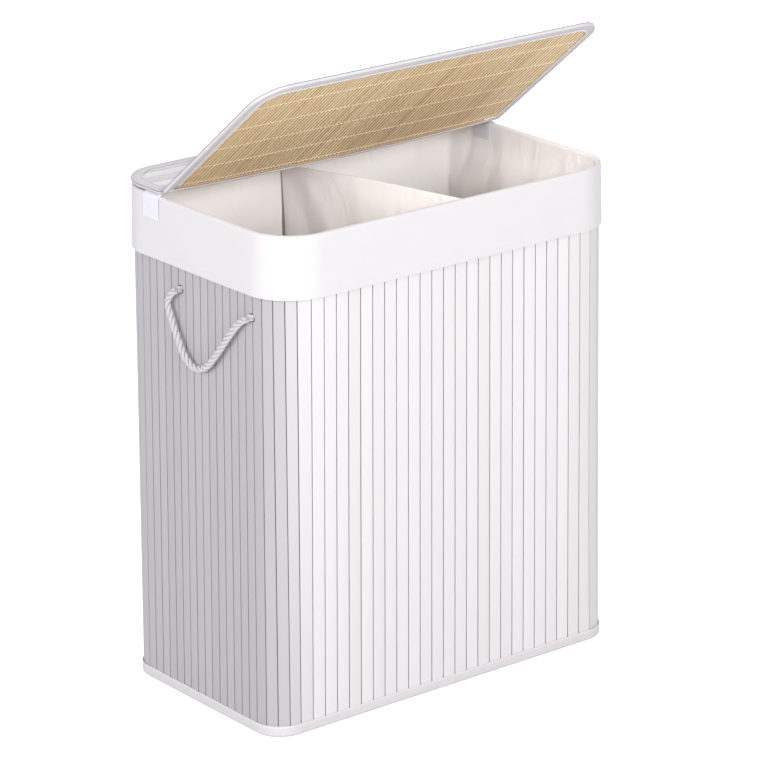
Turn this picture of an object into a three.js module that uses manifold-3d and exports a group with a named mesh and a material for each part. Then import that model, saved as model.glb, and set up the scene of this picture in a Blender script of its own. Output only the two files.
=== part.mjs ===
// Laundry hamper with two bins: a slatted body, a folding lid, a divided cloth liner and rope handles.
// Millimetres, +Z up. The origin is under the middle of the body, on the floor. -Y is the front,
// where the lid opens, and the lid's hinge runs along X.
import * as THREE from 'three';
import { mergeVertices } from 'three/addons/utils/BufferGeometryUtils.js';
import Module from 'manifold-3d';

const wasm = await Module();
wasm.setup();

// Body: outer face of the slats at the floor and at the rim
const bodyHeight = 630;
const bottomLength = 534;
const bottomDepth = 298;
const bottomCorner = 36;
const topLength = 516;
const topDepth = 336;
const topCorner = 58;

// Slatted wall
const longWallSlat = 17.8;
const shortWallSlat = 14.8;
const slatGap = 1.4;
const slatThickness = 1.8;
const webThickness = 0.6;
const backingThickness = 0.6;

// Clearance that touching pieces keep, and the overrun of a cut
const clearance = 0.3;
const cutOverrun = 10;

// Edge bindings and hoops of the body
const feltThickness = 0.8;
const feltHeight = 14.4;
const rimTapeThickness = 0.6;
const rimTapeHeight = 12;
const hoopWire = 3;

// Base
const baseClothThickness = 0.8;
const boardThickness = 3;
const boardMargin = 6;

// Liner
const linerThickness = 0.8;
const cuffOutside = 78;
const cuffInside = 30;
const bagTopDrop = 4;
const bagShoulderDrop = 30;
const bagWaistDrop = 85;
const bagSlack = 16;
const bagFootHeight = 26;
const bagFootInset = 8;
const dividerSag = 18;
const dividerEndMargin = 3;
const dividerHemHeight = 9;
const dividerHemThickness = 0.6;

// Lid
const lidOpenDegrees = 39;
const rearPanelDepth = 102;
const lidOverhang = 28;
const flapCorner = 40;
const lidWire = 3;
const lidMatThickness = 1.2;
const lidSlat = 17.2;
const lidSlatGap = 1;
const lidSlatThickness = 2;
const lidTapeThickness = 0.6;
const lidTapeWidth = 14;
const hingeCorner = 6;
const leastCorner = 0.4;
const hingeClothWidth = 14;
const hingeClothThickness = 0.6;

// Hook-and-loop fastenings that hold the rear panel to the rim
const loopTapeWidth = 31;
const loopTapeThickness = 0.8;
const loopTapeOutside = 30;
const loopTapeInside = 24;
const loopTapeFromRear = 83;
const hookPatchThickness = 0.8;
const hookPatchMargin = 2;

// Rope handles
const ropeDiameter = 8.5;
const ropeHoleClearance = 0.5;
const ropeHoleDrop = 105.5;
const ropeHoleSpacing = 142;
const ropeHoleShift = -39;
const ropeStandoff = 6;
const knotDiameter = 18;
const knotLength = 13;
const knotSeat = 1;

// Route of the left rope from its rear exit to its front exit, and the right one mirrored
const ropeRoute = [
  [-265.6, 32, 524.5],
  [-267.4, 40, 519],
  [-268.8, 46.5, 507],
  [-269.6, 40, 491],
  [-270, 27, 468.5],
  [-270, 14, 449.5],
  [-270, -6, 438],
  [-270, -29, 444],
  [-270, -50, 464],
  [-269.6, -69, 486],
  [-268.6, -86, 506],
  [-267, -99, 518.5],
  [-265.6, -110, 524.5],
];

// Counts of facets
const cornerSteps = 8;
const wireSides = 8;
const ropeSides = 10;
const ropeSteps = 20;
const knotSides = 12;
const knotRings = 6;
const holeSides = 20;
const dividerSteps = 6;
const slatEndSteps = 5;

// Shares of the bare wall's height where its bending slats have extra points
const bellyShares = [1 / 3, 2 / 3];

// Angle under which a line in the wall counts as straight, in radians
const straightAngle = 1e-4;

// Colours
const paintedWood = { color: 0xece9ec, roughness: 0.55, metalness: 0 };
const naturalBamboo = { color: 0xc3a587, roughness: 0.7, metalness: 0 };
const whiteCloth = { color: 0xf5f2f4, roughness: 0.9, metalness: 0 };
const creamCloth = { color: 0xe8e3dc, roughness: 0.9, metalness: 0 };
const greyFelt = { color: 0xe0dde0, roughness: 0.95, metalness: 0 };
const steelWire = { color: 0xb8babc, roughness: 0.35, metalness: 1 };
const fibreBoard = { color: 0xd8cfc0, roughness: 0.85, metalness: 0 };
const cottonRope = { color: 0xf2efee, roughness: 0.95, metalness: 0 };
const hookTape = { color: 0xf0f0f6, roughness: 0.85, metalness: 0 };

// Offsets from the slats' outer face, positive outward
const wallThickness = slatThickness + webThickness;
const backingFace = -(wallThickness + clearance);
const wallInside = backingFace - backingThickness;
const rimTapeOut = clearance + rimTapeThickness;
const rimTapeIn = wallInside - clearance - rimTapeThickness;
const cuffOut = rimTapeOut + clearance + linerThickness;
const cuffIn = rimTapeIn - clearance - linerThickness;
const bagFace = cuffIn - clearance;
const bagInside = bagFace - linerThickness;
const feltOut = clearance + feltThickness;
const feltIn = wallInside - clearance - feltThickness;
const hoopOffset = wallInside / 2;

// Heights of the wall and its hoops
const bottomHoopHeight = feltThickness + clearance + hoopWire / 2;
const wallBottom = bottomHoopHeight + hoopWire / 2 + clearance;
const rimTapeTop = bodyHeight - linerThickness - clearance;
const topHoopHeight = rimTapeTop - rimTapeThickness - clearance - hoopWire / 2;
const wallTop = topHoopHeight - hoopWire / 2 - clearance;

// Heights of the lid's layers while it is shut
const loopTapeTop = bodyHeight + clearance + loopTapeThickness;
const lidUnderside = loopTapeTop + clearance + hookPatchThickness + clearance;
const lidMatBottom = lidUnderside + lidTapeThickness + clearance;
const lidSlatBottom = lidMatBottom + lidMatThickness + clearance;
const lidTapeTop = lidSlatBottom + lidSlatThickness + clearance + lidTapeThickness;
const lidTop = lidTapeTop + clearance + hingeClothThickness;
const hingeY = topDepth / 2 + cuffOut - rearPanelDepth;

// A closed body from its points and triangles, turned so that its faces point out
function closedBody(points, faces) {
  let volume = 0;
  for (const [a, b, c] of faces) {
    volume += points[a].dot(new THREE.Vector3().crossVectors(points[b], points[c]));
  }
  const order = volume > 0 ? [0, 1, 2] : [0, 2, 1];
  const geometry = new THREE.BufferGeometry();
  geometry.setFromPoints(points);
  geometry.setIndex(faces.flatMap((face) => order.map((corner) => face[corner])));
  geometry.computeVertexNormals();
  return geometry;
}

// Two triangles between four points. Twisted layers stay parallel, because the diagonal always
// climbs the same way.
function addQuad(points, faces, a, b, c, d) {
  if (points[c].z > points[a].z) faces.push([a, b, c], [a, c, d]);
  else faces.push([a, b, d], [b, c, d]);
}

// Faces between two neighbouring rows of a grid, each row a closed loop of the same count
function joinLoops(points, faces, first, second, count) {
  for (let i = 0; i < count; i += 1) {
    const next = (i + 1) % count;
    addQuad(points, faces, first + i, second + i, second + next, first + next);
  }
}

// Faces between two upright columns of points that may differ in count
function joinColumns(points, faces, left, right) {
  let i = 0;
  let j = 0;
  while (i + 1 < left.length || j + 1 < right.length) {
    const leftTop = i + 1 < left.length ? points[left[i + 1]].z : Infinity;
    const rightTop = j + 1 < right.length ? points[right[j + 1]].z : Infinity;
    if (rightTop <= leftTop) {
      faces.push([left[i], right[j], right[j + 1]]);
      j += 1;
    } else {
      faces.push([left[i], right[j], left[i + 1]]);
      i += 1;
    }
  }
}

// A profile carried round a closed run of stations
function sweptRing(stations, profile, place) {
  const points = stations.flatMap((station) => profile.map((spot) => place(station, spot)));
  const faces = [];
  stations.forEach((_, i) => {
    const next = (i + 1) % stations.length;
    joinLoops(points, faces, i * profile.length, next * profile.length, profile.length);
  });
  return closedBody(points, faces);
}

// A profile carried along an open run of stations, closed by flat ends
function sweptBar(stations, profile, place) {
  const points = stations.flatMap((station) => profile.map((spot) => place(station, spot)));
  const faces = [];
  for (let i = 0; i + 1 < stations.length; i += 1) {
    joinLoops(points, faces, i * profile.length, (i + 1) * profile.length, profile.length);
  }
  const outline = profile.map(([across, up]) => new THREE.Vector2(across, up));
  const area = THREE.ShapeUtils.area(outline);
  const last = (stations.length - 1) * profile.length;
  for (const [a, b, c] of THREE.ShapeUtils.triangulateShape(outline, [])) {
    const turn = THREE.ShapeUtils.area([outline[a], outline[b], outline[c]]);
    const [p, q, r] = turn * area > 0 ? [a, b, c] : [a, c, b];
    faces.push([p, q, r], [last + p, last + r, last + q]);
  }
  return closedBody(points, faces);
}

// A stack of loops, closed at the first and the last one by a fan round its middle
function stackedBody(loops) {
  const count = loops[0].length;
  const points = loops.flat();
  const faces = [];
  for (let i = 0; i + 1 < loops.length; i += 1) {
    joinLoops(points, faces, i * count, (i + 1) * count, count);
  }
  const middleOf = (loop) => loop.reduce((sum, p) => sum.add(p), new THREE.Vector3()).divideScalar(count);
  const start = points.push(middleOf(loops[0])) - 1;
  const end = points.push(middleOf(loops[loops.length - 1])) - 1;
  const last = (loops.length - 1) * count;
  for (let i = 0; i < count; i += 1) {
    const next = (i + 1) % count;
    faces.push([start, i, next], [end, last + next, last + i]);
  }
  return closedBody(points, faces);
}

function circleProfile(radius, sides) {
  return Array.from({ length: sides }, (_, i) => {
    const angle = (2 * Math.PI * i) / sides;
    return [radius * Math.cos(angle), radius * Math.sin(angle)];
  });
}

// A circle of the given radius round a middle point, as a profile
function wireProfile(middle, radius) {
  return circleProfile(radius, wireSides).map(([out, up]) => [middle[0] + out, middle[1] + up]);
}

// A rounded rectangle in plan: a point and its outward normal at a distance along the outline,
// counted from the middle of the front and counter-clockwise from above
function outlineOf(length, depth, corner) {
  const halfLong = length / 2 - corner;
  const halfShort = depth / 2 - corner;
  const arc = (Math.PI / 2) * corner;
  const runs = [
    { size: halfLong, straight: true, x: 0, y: -depth / 2, turn: 0 },
    { size: arc, x: halfLong, y: -halfShort, turn: 0 },
    { size: 2 * halfShort, straight: true, x: length / 2, y: -halfShort, turn: 1 },
    { size: arc, x: halfLong, y: halfShort, turn: 1 },
    { size: 2 * halfLong, straight: true, x: halfLong, y: depth / 2, turn: 2 },
    { size: arc, x: -halfLong, y: halfShort, turn: 2 },
    { size: 2 * halfShort, straight: true, x: -length / 2, y: halfShort, turn: 3 },
    { size: arc, x: -halfLong, y: -halfShort, turn: 3 },
    { size: halfLong, straight: true, x: -halfLong, y: -depth / 2, turn: 4 },
  ];
  const perimeter = runs.reduce((sum, run) => sum + run.size, 0);
  const at = (share) => {
    let rest = share * perimeter;
    let run = runs[0];
    for (run of runs) {
      if (rest <= run.size) break;
      rest -= run.size;
    }
    const heading = (run.turn * Math.PI) / 2 + (run.straight ? 0 : Math.min(rest, run.size) / corner);
    const normal = new THREE.Vector2(Math.sin(heading), -Math.cos(heading));
    const along = new THREE.Vector2(Math.cos(heading), Math.sin(heading));
    const point = new THREE.Vector2(run.x, run.y);
    if (run.straight) point.addScaledVector(along, rest);
    else point.addScaledVector(normal, corner);
    return { point, normal };
  };
  return { perimeter, at };
}

const floorOutline = outlineOf(bottomLength, bottomDepth, bottomCorner);
const rimOutline = outlineOf(topLength, topDepth, topCorner);

// Seams between slats, as shares of the way round: even along each long wall and even round each
// short wall with its two corners
function seamShares() {
  const longRun = bottomLength - 2 * bottomCorner;
  const shortRun = floorOutline.perimeter / 2 - longRun;
  const longCount = Math.round(longRun / longWallSlat);
  const shortCount = Math.round(shortRun / shortWallSlat);
  const seams = [];
  let start = -longRun / 2;
  for (let side = 0; side < 2; side += 1) {
    for (let i = 0; i < longCount; i += 1) seams.push(start + (longRun * i) / longCount);
    start += longRun;
    for (let i = 0; i < shortCount; i += 1) seams.push(start + (shortRun * i) / shortCount);
    start += shortRun;
  }
  return seams.map((seam) => (seam / floorOutline.perimeter + 1) % 1);
}

// A straight line up the wall at one share of the way round
function wallLine(share) {
  const foot = floorOutline.at(share);
  const head = rimOutline.at(share);
  return (offset, height) => {
    const rise = height / bodyHeight;
    const low = foot.point.clone().addScaledVector(foot.normal, offset);
    const high = head.point.clone().addScaledVector(head.normal, offset);
    const spot = low.lerp(high, rise);
    return new THREE.Vector3(spot.x, spot.y, height);
  };
}

const seamLines = seamShares().map(wallLine);

// The seams where the wall bends, which is all that a smooth layer needs
function bendingLines() {
  const bends = (a, b, c, height) => {
    const [p, q, r] = [a, b, c].map((line) => line(0, height));
    const before = q.clone().sub(p);
    const after = r.clone().sub(q);
    return before.angleTo(after) > straightAngle;
  };
  return seamLines.filter((line, i) => {
    const before = seamLines[(i + seamLines.length - 1) % seamLines.length];
    const after = seamLines[(i + 1) % seamLines.length];
    return bends(before, line, after, 0) || bends(before, line, after, bodyHeight);
  });
}

const wallLines = bendingLines();

// Heights where a bending line of the wall has points, and where a straight one has
const bentLevels = [
  wallBottom,
  feltHeight,
  ...bellyShares.map((share) => feltHeight + (bodyHeight - cuffOutside - feltHeight) * share),
  bodyHeight - cuffOutside,
  rimTapeTop - rimTapeHeight,
  wallTop,
];
const levelsOf = (line) => (wallLines.includes(line) ? bentLevels : [wallBottom, wallTop]);

const onWall = (line, [offset, height]) => line(offset, height);

// Half sizes of the slats' outer face at a height, away from the corners
const halfLengthAt = (height) => (bottomLength + ((topLength - bottomLength) * height) / bodyHeight) / 2;
const halfDepthAt = (height) => (bottomDepth + ((topDepth - bottomDepth) * height) / bodyHeight) / 2;

// A layer that follows the wall, from its offsets and heights
function wallRing(profile) {
  return sweptRing(wallLines, profile, onWall);
}

// A strip folded over an edge, as a profile: two legs and the fold between them
function foldProfile(outside, inside, thickness, edge, outerEnd, innerEnd, up) {
  return [
    [outside, outerEnd],
    [outside, edge],
    [inside, edge],
    [inside, innerEnd],
    [inside + thickness, innerEnd],
    [inside + thickness, edge - up * thickness],
    [outside - thickness, edge - up * thickness],
    [outside - thickness, outerEnd],
  ];
}

// Solids for cutting
function toSolid(geometry) {
  const bare = new THREE.BufferGeometry();
  bare.setAttribute('position', geometry.getAttribute('position').clone());
  if (geometry.index) bare.setIndex(geometry.index.clone());
  const merged = mergeVertices(bare);
  return new wasm.Manifold(new wasm.Mesh({
    numProp: 3,
    vertProperties: new Float32Array(merged.getAttribute('position').array),
    triVerts: new Uint32Array(merged.index.array),
  }));
}

function fromSolid(solid) {
  const mesh = solid.getMesh();
  const geometry = new THREE.BufferGeometry();
  geometry.setAttribute('position', new THREE.BufferAttribute(new Float32Array(mesh.vertProperties), 3));
  geometry.setIndex(Array.from(mesh.triVerts));
  geometry.computeVertexNormals();
  return geometry;
}

const hamper = new THREE.Group();

function addPiece(name, geometry, finish, parent = hamper) {
  const mesh = new THREE.Mesh(geometry, new THREE.MeshStandardMaterial(finish));
  mesh.name = name;
  parent.add(mesh);
  return mesh;
}

// Rope exits on the short walls
const ropeExitHeight = bodyHeight - ropeHoleDrop;
const ropeExits = [
  { label: 'rear', y: ropeHoleShift + ropeHoleSpacing / 2 },
  { label: 'front', y: ropeHoleShift - ropeHoleSpacing / 2 },
];
const sides = [
  { label: 'left', sign: -1 },
  { label: 'right', sign: 1 },
];

function withRopeHoles(geometry) {
  const length = Math.max(bottomLength, topLength) + 2 * cutOverrun;
  const holes = ropeExits.map(({ y }) => {
    const radius = ropeDiameter / 2 + ropeHoleClearance;
    const hole = new THREE.CylinderGeometry(radius, radius, length, holeSides);
    hole.rotateZ(Math.PI / 2);
    hole.translate(0, y, ropeExitHeight);
    return toSolid(hole);
  });
  return fromSolid(holes.reduce((solid, hole) => solid.subtract(hole), toSolid(geometry)));
}

// Slats on their cloth web, as one flexible sheet sewn into a ring. At each seam stand five columns
// of points: the edge and the root of the slat before it, the root and the edge of the slat after
// it, and the web's inner face.
function slatWall() {
  const points = [];
  const faces = [];
  const near = (line, other, offset, height) => {
    const from = line(offset, height);
    const to = other(offset, height);
    return from.lerp(to, slatGap / 2 / from.distanceTo(to));
  };
  const seams = seamLines.map((line, i) => {
    const before = seamLines[(i + seamLines.length - 1) % seamLines.length];
    const after = seamLines[(i + 1) % seamLines.length];
    const column = (place) => {
      return levelsOf(line).map((height) => points.push(place(height)) - 1);
    };
    return [
      column((height) => near(line, before, 0, height)),
      column((height) => near(line, before, -slatThickness, height)),
      column((height) => near(line, after, -slatThickness, height)),
      column((height) => near(line, after, 0, height)),
      column((height) => line(-wallThickness, height)),
    ];
  });
  seams.forEach(([edge, root, nextRoot, nextEdge, inner], i) => {
    const [farEdge, farRoot, , , farInner] = seams[(i + 1) % seams.length];
    joinColumns(points, faces, edge, root);
    joinColumns(points, faces, root, nextRoot);
    joinColumns(points, faces, nextRoot, nextEdge);
    joinColumns(points, faces, nextEdge, farEdge);
    const insideFaces = [];
    joinColumns(points, insideFaces, inner, farInner);
    faces.push(...insideFaces.map(([a, b, c]) => [a, c, b]));
    const cap = [root, nextRoot, nextEdge, farEdge, farRoot, farInner, inner];
    const fan = [[0, 1, 6], [1, 2, 3], [1, 3, 4], [1, 4, 5], [1, 5, 6]];
    for (const corners of fan) {
      const columns = corners.map((corner) => cap[corner]);
      const [a, b, c] = columns.map((column) => column[0]);
      faces.push([a, c, b], columns.map((column) => column[column.length - 1]));
    }
  });
  return withRopeHoles(closedBody(points, faces));
}

function backingCloth() {
  const face = bentLevels.map((height) => [backingFace, height]);
  const back = bentLevels.map((height) => [wallInside, height]);
  return withRopeHoles(wallRing([...face, ...back.reverse()]));
}

// A flat plate that fills the wall's outline at an offset
function basePlate(offset, bottom, top) {
  return stackedBody([bottom, top].map((height) => wallLines.map((line) => line(offset, height))));
}

function addBody() {
  addPiece('slat_wall', slatWall(), paintedWood);
  addPiece('wall_backing', backingCloth(), whiteCloth);
  const tapeEnd = rimTapeTop - rimTapeHeight;
  const rimTape = foldProfile(rimTapeOut, rimTapeIn, rimTapeThickness, rimTapeTop, tapeEnd, tapeEnd, 1);
  addPiece('rim_tape', wallRing(rimTape), whiteCloth);
  addPiece('rim_hoop', wallRing(wireProfile([hoopOffset, topHoopHeight], hoopWire / 2)), steelWire);
  const footFelt = foldProfile(feltOut, feltIn, feltThickness, 0, feltHeight, feltHeight, -1);
  addPiece('foot_felt', wallRing(footFelt), greyFelt);
  addPiece('foot_hoop', wallRing(wireProfile([hoopOffset, bottomHoopHeight], hoopWire / 2)), steelWire);
  addPiece('base_cloth', basePlate(feltIn - clearance, 0, baseClothThickness), whiteCloth);
  const boardBottom = baseClothThickness + clearance;
  const board = basePlate(feltIn - boardMargin, boardBottom, boardBottom + boardThickness);
  addPiece('base_board', board, fibreBoard);
}

// Liner: a cuff folded over the rim and two bags that share a divider
const bagFloor = baseClothThickness + clearance + boardThickness + clearance;
const bagTop = bodyHeight - bagTopDrop;

// Top of the divider: it meets the rim at the front and sinks towards the rear
function dividerTopAt(share) {
  return bagTop - dividerSag * (1 - (1 - share) ** 2);
}

// One level of a bag, counter-clockwise from above: along the wall, then back along the divider
function bagLoop(sign, offset, height, fromDivider, sagging) {
  const turnOf = (line) => {
    const spot = line(0, height);
    return Math.atan2(sign * spot.y, sign * spot.x);
  };
  const onThisSide = wallLines.filter((line) => line(0, height).x * sign > 0);
  const wall = onThisSide.sort((a, b) => turnOf(a) - turnOf(b)).map((line) => line(offset, height));
  const end = new THREE.Vector3(sign * fromDivider, sign * (halfDepthAt(height) + offset), height);
  const divider = Array.from({ length: dividerSteps + 1 }, (_, i) => {
    const towardsEnd = i / dividerSteps;
    const share = sign > 0 ? 1 - towardsEnd : towardsEnd;
    const top = sagging ? dividerTopAt(share) : height;
    const reach = halfDepthAt(top) + offset - dividerEndMargin;
    return new THREE.Vector3(sign * fromDivider, reach * (2 * share - 1), top);
  });
  return [...wall, end, ...divider, end.clone().setY(-end.y)];
}

function bag(sign) {
  const slackFace = bagFace - bagSlack;
  const outer = [
    [bagFloor, slackFace - bagFootInset],
    [bagFootHeight, slackFace],
    [bodyHeight - bagWaistDrop, slackFace],
    [bodyHeight - bagShoulderDrop, bagFace],
    [bagTop, bagFace],
  ];
  const inner = outer.map(([height, offset], i) => {
    const lifted = i === 0 ? height + linerThickness : height;
    return [lifted, offset - linerThickness];
  });
  const near = clearance / 2;
  const outside = outer.map(([height, offset]) => bagLoop(sign, offset, height, near, height === bagTop));
  const within = inner.map(([height, offset]) => {
    return bagLoop(sign, offset, height, near + linerThickness, height === bagTop);
  });
  return stackedBody([...within, ...outside.reverse()]);
}

function dividerHem() {
  const outside = clearance / 2 + linerThickness + clearance + dividerHemThickness;
  const inside = outside - dividerHemThickness;
  const fold = clearance + dividerHemThickness;
  const profile = [
    [-outside, fold - dividerHemHeight],
    [-outside, fold],
    [outside, fold],
    [outside, fold - dividerHemHeight],
    [inside, fold - dividerHemHeight],
    [inside, clearance],
    [-inside, clearance],
    [-inside, fold - dividerHemHeight],
  ];
  const halfDepth = halfDepthAt(bagTop) + bagInside - 2 * dividerEndMargin;
  const stations = Array.from({ length: dividerSteps + 1 }, (_, i) => i / dividerSteps);
  return sweptBar(stations, profile, (share, [across, up]) => {
    return new THREE.Vector3(across, halfDepth * (2 * share - 1), dividerTopAt(share) + up);
  });
}

function addLiner() {
  const cuff = foldProfile(
    cuffOut, cuffIn, linerThickness, bodyHeight, bodyHeight - cuffOutside, bodyHeight - cuffInside, 1,
  );
  addPiece('liner_cuff', wallRing(cuff), whiteCloth);
  for (const { label, sign } of sides) addPiece(`${label}_bag`, bag(sign), creamCloth);
  addPiece('divider_hem', dividerHem(), creamCloth);
}

// Loop tapes over the rim and hook patches under the lid's rear panel
function addFastenings() {
  const middle = topDepth / 2 + cuffOut - loopTapeFromRear;
  const outside = cuffOut + clearance + loopTapeThickness;
  const inside = bagInside - clearance - loopTapeThickness;
  const outerEnd = loopTapeTop - loopTapeOutside;
  const innerEnd = loopTapeTop - loopTapeInside;
  const profile = foldProfile(outside, inside, loopTapeThickness, loopTapeTop, outerEnd, innerEnd, 1);
  const ends = [-loopTapeWidth / 2, loopTapeWidth / 2];
  const patch = new THREE.BoxGeometry(
    outside - inside - 2 * hookPatchMargin, loopTapeWidth - 2 * hookPatchMargin, hookPatchThickness,
  );
  for (const { label, sign } of sides) {
    const tape = sweptBar(ends, profile, (along, [offset, height]) => {
      return new THREE.Vector3(sign * (halfLengthAt(height) + offset), middle + along, height);
    });
    addPiece(`${label}_loop_tape`, tape, hookTape);
    const hook = addPiece(`${label}_hook_patch`, patch.clone(), hookTape);
    const across = halfLengthAt(loopTapeTop) + (outside + inside) / 2;
    hook.position.set(sign * across, middle, loopTapeTop + clearance + hookPatchThickness / 2);
  }
}

// Lid panels, in a frame whose origin is on the hinge axis and whose -Y points to the front
const lidHalf = topLength / 2 + cuffOut;
const lidCorner = topCorner + cuffOut;
const panelGap = clearance;
const rearPanel = {
  label: 'rear',
  low: panelGap,
  high: rearPanelDepth,
  lowCorner: hingeCorner,
  highCorner: lidCorner,
};
const flapPanel = {
  label: 'flap',
  low: -(topDepth + 2 * cuffOut + lidOverhang - rearPanelDepth),
  high: -panelGap,
  lowCorner: flapCorner,
  highCorner: hingeCorner,
};

function panelOutline(panel, inset) {
  const quarters = [
    { x: 1, end: 'low', turn: -1 },
    { x: 1, end: 'high', turn: 0 },
    { x: -1, end: 'high', turn: 1 },
    { x: -1, end: 'low', turn: 2 },
  ];
  return quarters.flatMap(({ x, end, turn }) => {
    const corner = end === 'low' ? panel.lowCorner : panel.highCorner;
    const radius = Math.max(corner - inset, leastCorner);
    const middleX = x * (lidHalf - inset - radius);
    const middleY = end === 'low' ? panel.low + inset + radius : panel.high - inset - radius;
    return Array.from({ length: cornerSteps + 1 }, (_, i) => {
      const angle = (Math.PI / 2) * (turn + i / cornerSteps);
      return new THREE.Vector2(middleX + radius * Math.cos(angle), middleY + radius * Math.sin(angle));
    });
  });
}

function panelRing(panel, profile) {
  const stations = panelOutline(panel, 0).map((_, i) => i);
  const outlines = new Map(profile.map(([inset]) => [inset, panelOutline(panel, inset)]));
  return sweptRing(stations, profile, (i, [inset, height]) => {
    const spot = outlines.get(inset)[i];
    return new THREE.Vector3(spot.x, spot.y, height - lidTop);
  });
}

// How far the lid reaches to each side at a distance from the hinge
function panelReach(panel, inset, y) {
  const ends = [
    { radius: panel.lowCorner - inset, depth: y - (panel.low + inset) },
    { radius: panel.highCorner - inset, depth: panel.high - inset - y },
  ];
  const cuts = ends.map(({ radius, depth }) => {
    if (depth >= radius) return 0;
    return radius - Math.sqrt(Math.max(radius ** 2 - (radius - depth) ** 2, 0));
  });
  return lidHalf - inset - Math.max(...cuts);
}

function lidSlatShape(panel, inset, low, high) {
  const right = Array.from({ length: slatEndSteps + 1 }, (_, i) => {
    const y = low + ((high - low) * i) / slatEndSteps;
    return new THREE.Vector2(panelReach(panel, inset, y), y);
  });
  const left = [...right].reverse().map((spot) => new THREE.Vector2(-spot.x, spot.y));
  return new THREE.Shape([...right, ...left]);
}

function flatLayer(shape, thickness, bottom) {
  const geometry = new THREE.ExtrudeGeometry(shape, { depth: thickness, bevelEnabled: false });
  geometry.translate(0, 0, bottom - lidTop);
  return geometry;
}

function addPanel(panel, parent) {
  const tapeInside = lidTapeWidth;
  const wireInset = lidTapeThickness + clearance + lidWire / 2;
  const coreInset = wireInset + lidWire / 2 + clearance;
  const tape = [
    [0, lidUnderside],
    [0, lidTapeTop],
    [tapeInside, lidTapeTop],
    [tapeInside, lidTapeTop - lidTapeThickness],
    [lidTapeThickness, lidTapeTop - lidTapeThickness],
    [lidTapeThickness, lidUnderside + lidTapeThickness],
    [tapeInside, lidUnderside + lidTapeThickness],
    [tapeInside, lidUnderside],
  ];
  addPiece(`${panel.label}_edge_tape`, panelRing(panel, tape), whiteCloth, parent);
  const wireHeight = (lidUnderside + lidTapeTop) / 2;
  const wire = wireProfile([wireInset, wireHeight], lidWire / 2);
  addPiece(`${panel.label}_wire`, panelRing(panel, wire), steelWire, parent);
  const mat = new THREE.Shape(panelOutline(panel, coreInset));
  addPiece(`${panel.label}_mat`, flatLayer(mat, lidMatThickness, lidMatBottom), naturalBamboo, parent);
  const low = panel.low + coreInset;
  const run = panel.high - coreInset - low;
  const count = Math.round((run + lidSlatGap) / lidSlat);
  const pitch = (run + lidSlatGap) / count;
  for (let i = 0; i < count; i += 1) {
    const start = low + pitch * i;
    const shape = lidSlatShape(panel, coreInset, start, start + pitch - lidSlatGap);
    const slat = flatLayer(shape, lidSlatThickness, lidSlatBottom);
    addPiece(`${panel.label}_slat_${i + 1}`, slat, paintedWood, parent);
  }
  const towardsHinge = Math.sign(panel.low + panel.high);
  const strip = new THREE.BoxGeometry(2 * (lidHalf - hingeCorner), hingeClothWidth, hingeClothThickness);
  strip.translate(0, towardsHinge * (panelGap + hingeClothWidth / 2), -hingeClothThickness / 2);
  addPiece(`${panel.label}_hinge_cloth`, strip, whiteCloth, parent);
}

function addLid() {
  const fixed = new THREE.Group();
  fixed.position.set(0, hingeY, lidTop);
  addPanel(rearPanel, fixed);
  const flap = new THREE.Group();
  flap.position.set(0, hingeY, lidTop);
  flap.rotation.x = -THREE.MathUtils.degToRad(lidOpenDegrees);
  addPanel(flapPanel, flap);
  hamper.add(fixed, flap);
}

// Rope handles: a free loop outside, and inside the wall a knot at each end
function ropeLoop(sign) {
  const section = circleProfile(ropeDiameter / 2, ropeSides).map(([x, y]) => new THREE.Vector2(x, y));
  const route = ropeRoute.map(([x, y, z]) => new THREE.Vector3(-sign * x, y, z));
  return new THREE.ExtrudeGeometry(new THREE.Shape(section), {
    steps: ropeSteps,
    bevelEnabled: false,
    extrudePath: new THREE.CatmullRomCurve3(route),
  });
}

function ropeKnot(sign) {
  const radius = ropeDiameter / 2;
  const axis = halfLengthAt(ropeExitHeight) + ropeStandoff;
  const tip = axis - radius - clearance;
  const seat = halfLengthAt(ropeExitHeight) + wallInside - knotSeat;
  const profile = [new THREE.Vector2(0, tip), new THREE.Vector2(radius, tip)];
  for (let i = 0; i <= knotRings; i += 1) {
    const angle = (Math.PI * i) / knotRings;
    const swell = (knotDiameter / 2 - radius) * Math.sin(angle);
    profile.push(new THREE.Vector2(radius + swell, seat - (knotLength * (1 - Math.cos(angle))) / 2));
  }
  profile.push(new THREE.Vector2(0, seat - knotLength));
  const knot = new THREE.LatheGeometry(profile.reverse(), knotSides);
  knot.rotateZ(-sign * (Math.PI / 2));
  return knot;
}

function addHandles() {
  for (const { label, sign } of sides) {
    addPiece(`${label}_handle_rope`, ropeLoop(sign), cottonRope);
    for (const exit of ropeExits) {
      const knot = addPiece(`${label}_${exit.label}_knot`, ropeKnot(sign), cottonRope);
      knot.position.set(0, exit.y, ropeExitHeight);
    }
  }
}

addBody();
addLiner();
addFastenings();
addLid();
addHandles();

export default hamper;
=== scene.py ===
import random
from math import atan2, copysign, cos, dist, exp, pi, radians, sin, sqrt
from types import SimpleNamespace

import bpy
import numpy as np
from mathutils import Matrix, Vector, noise


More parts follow.
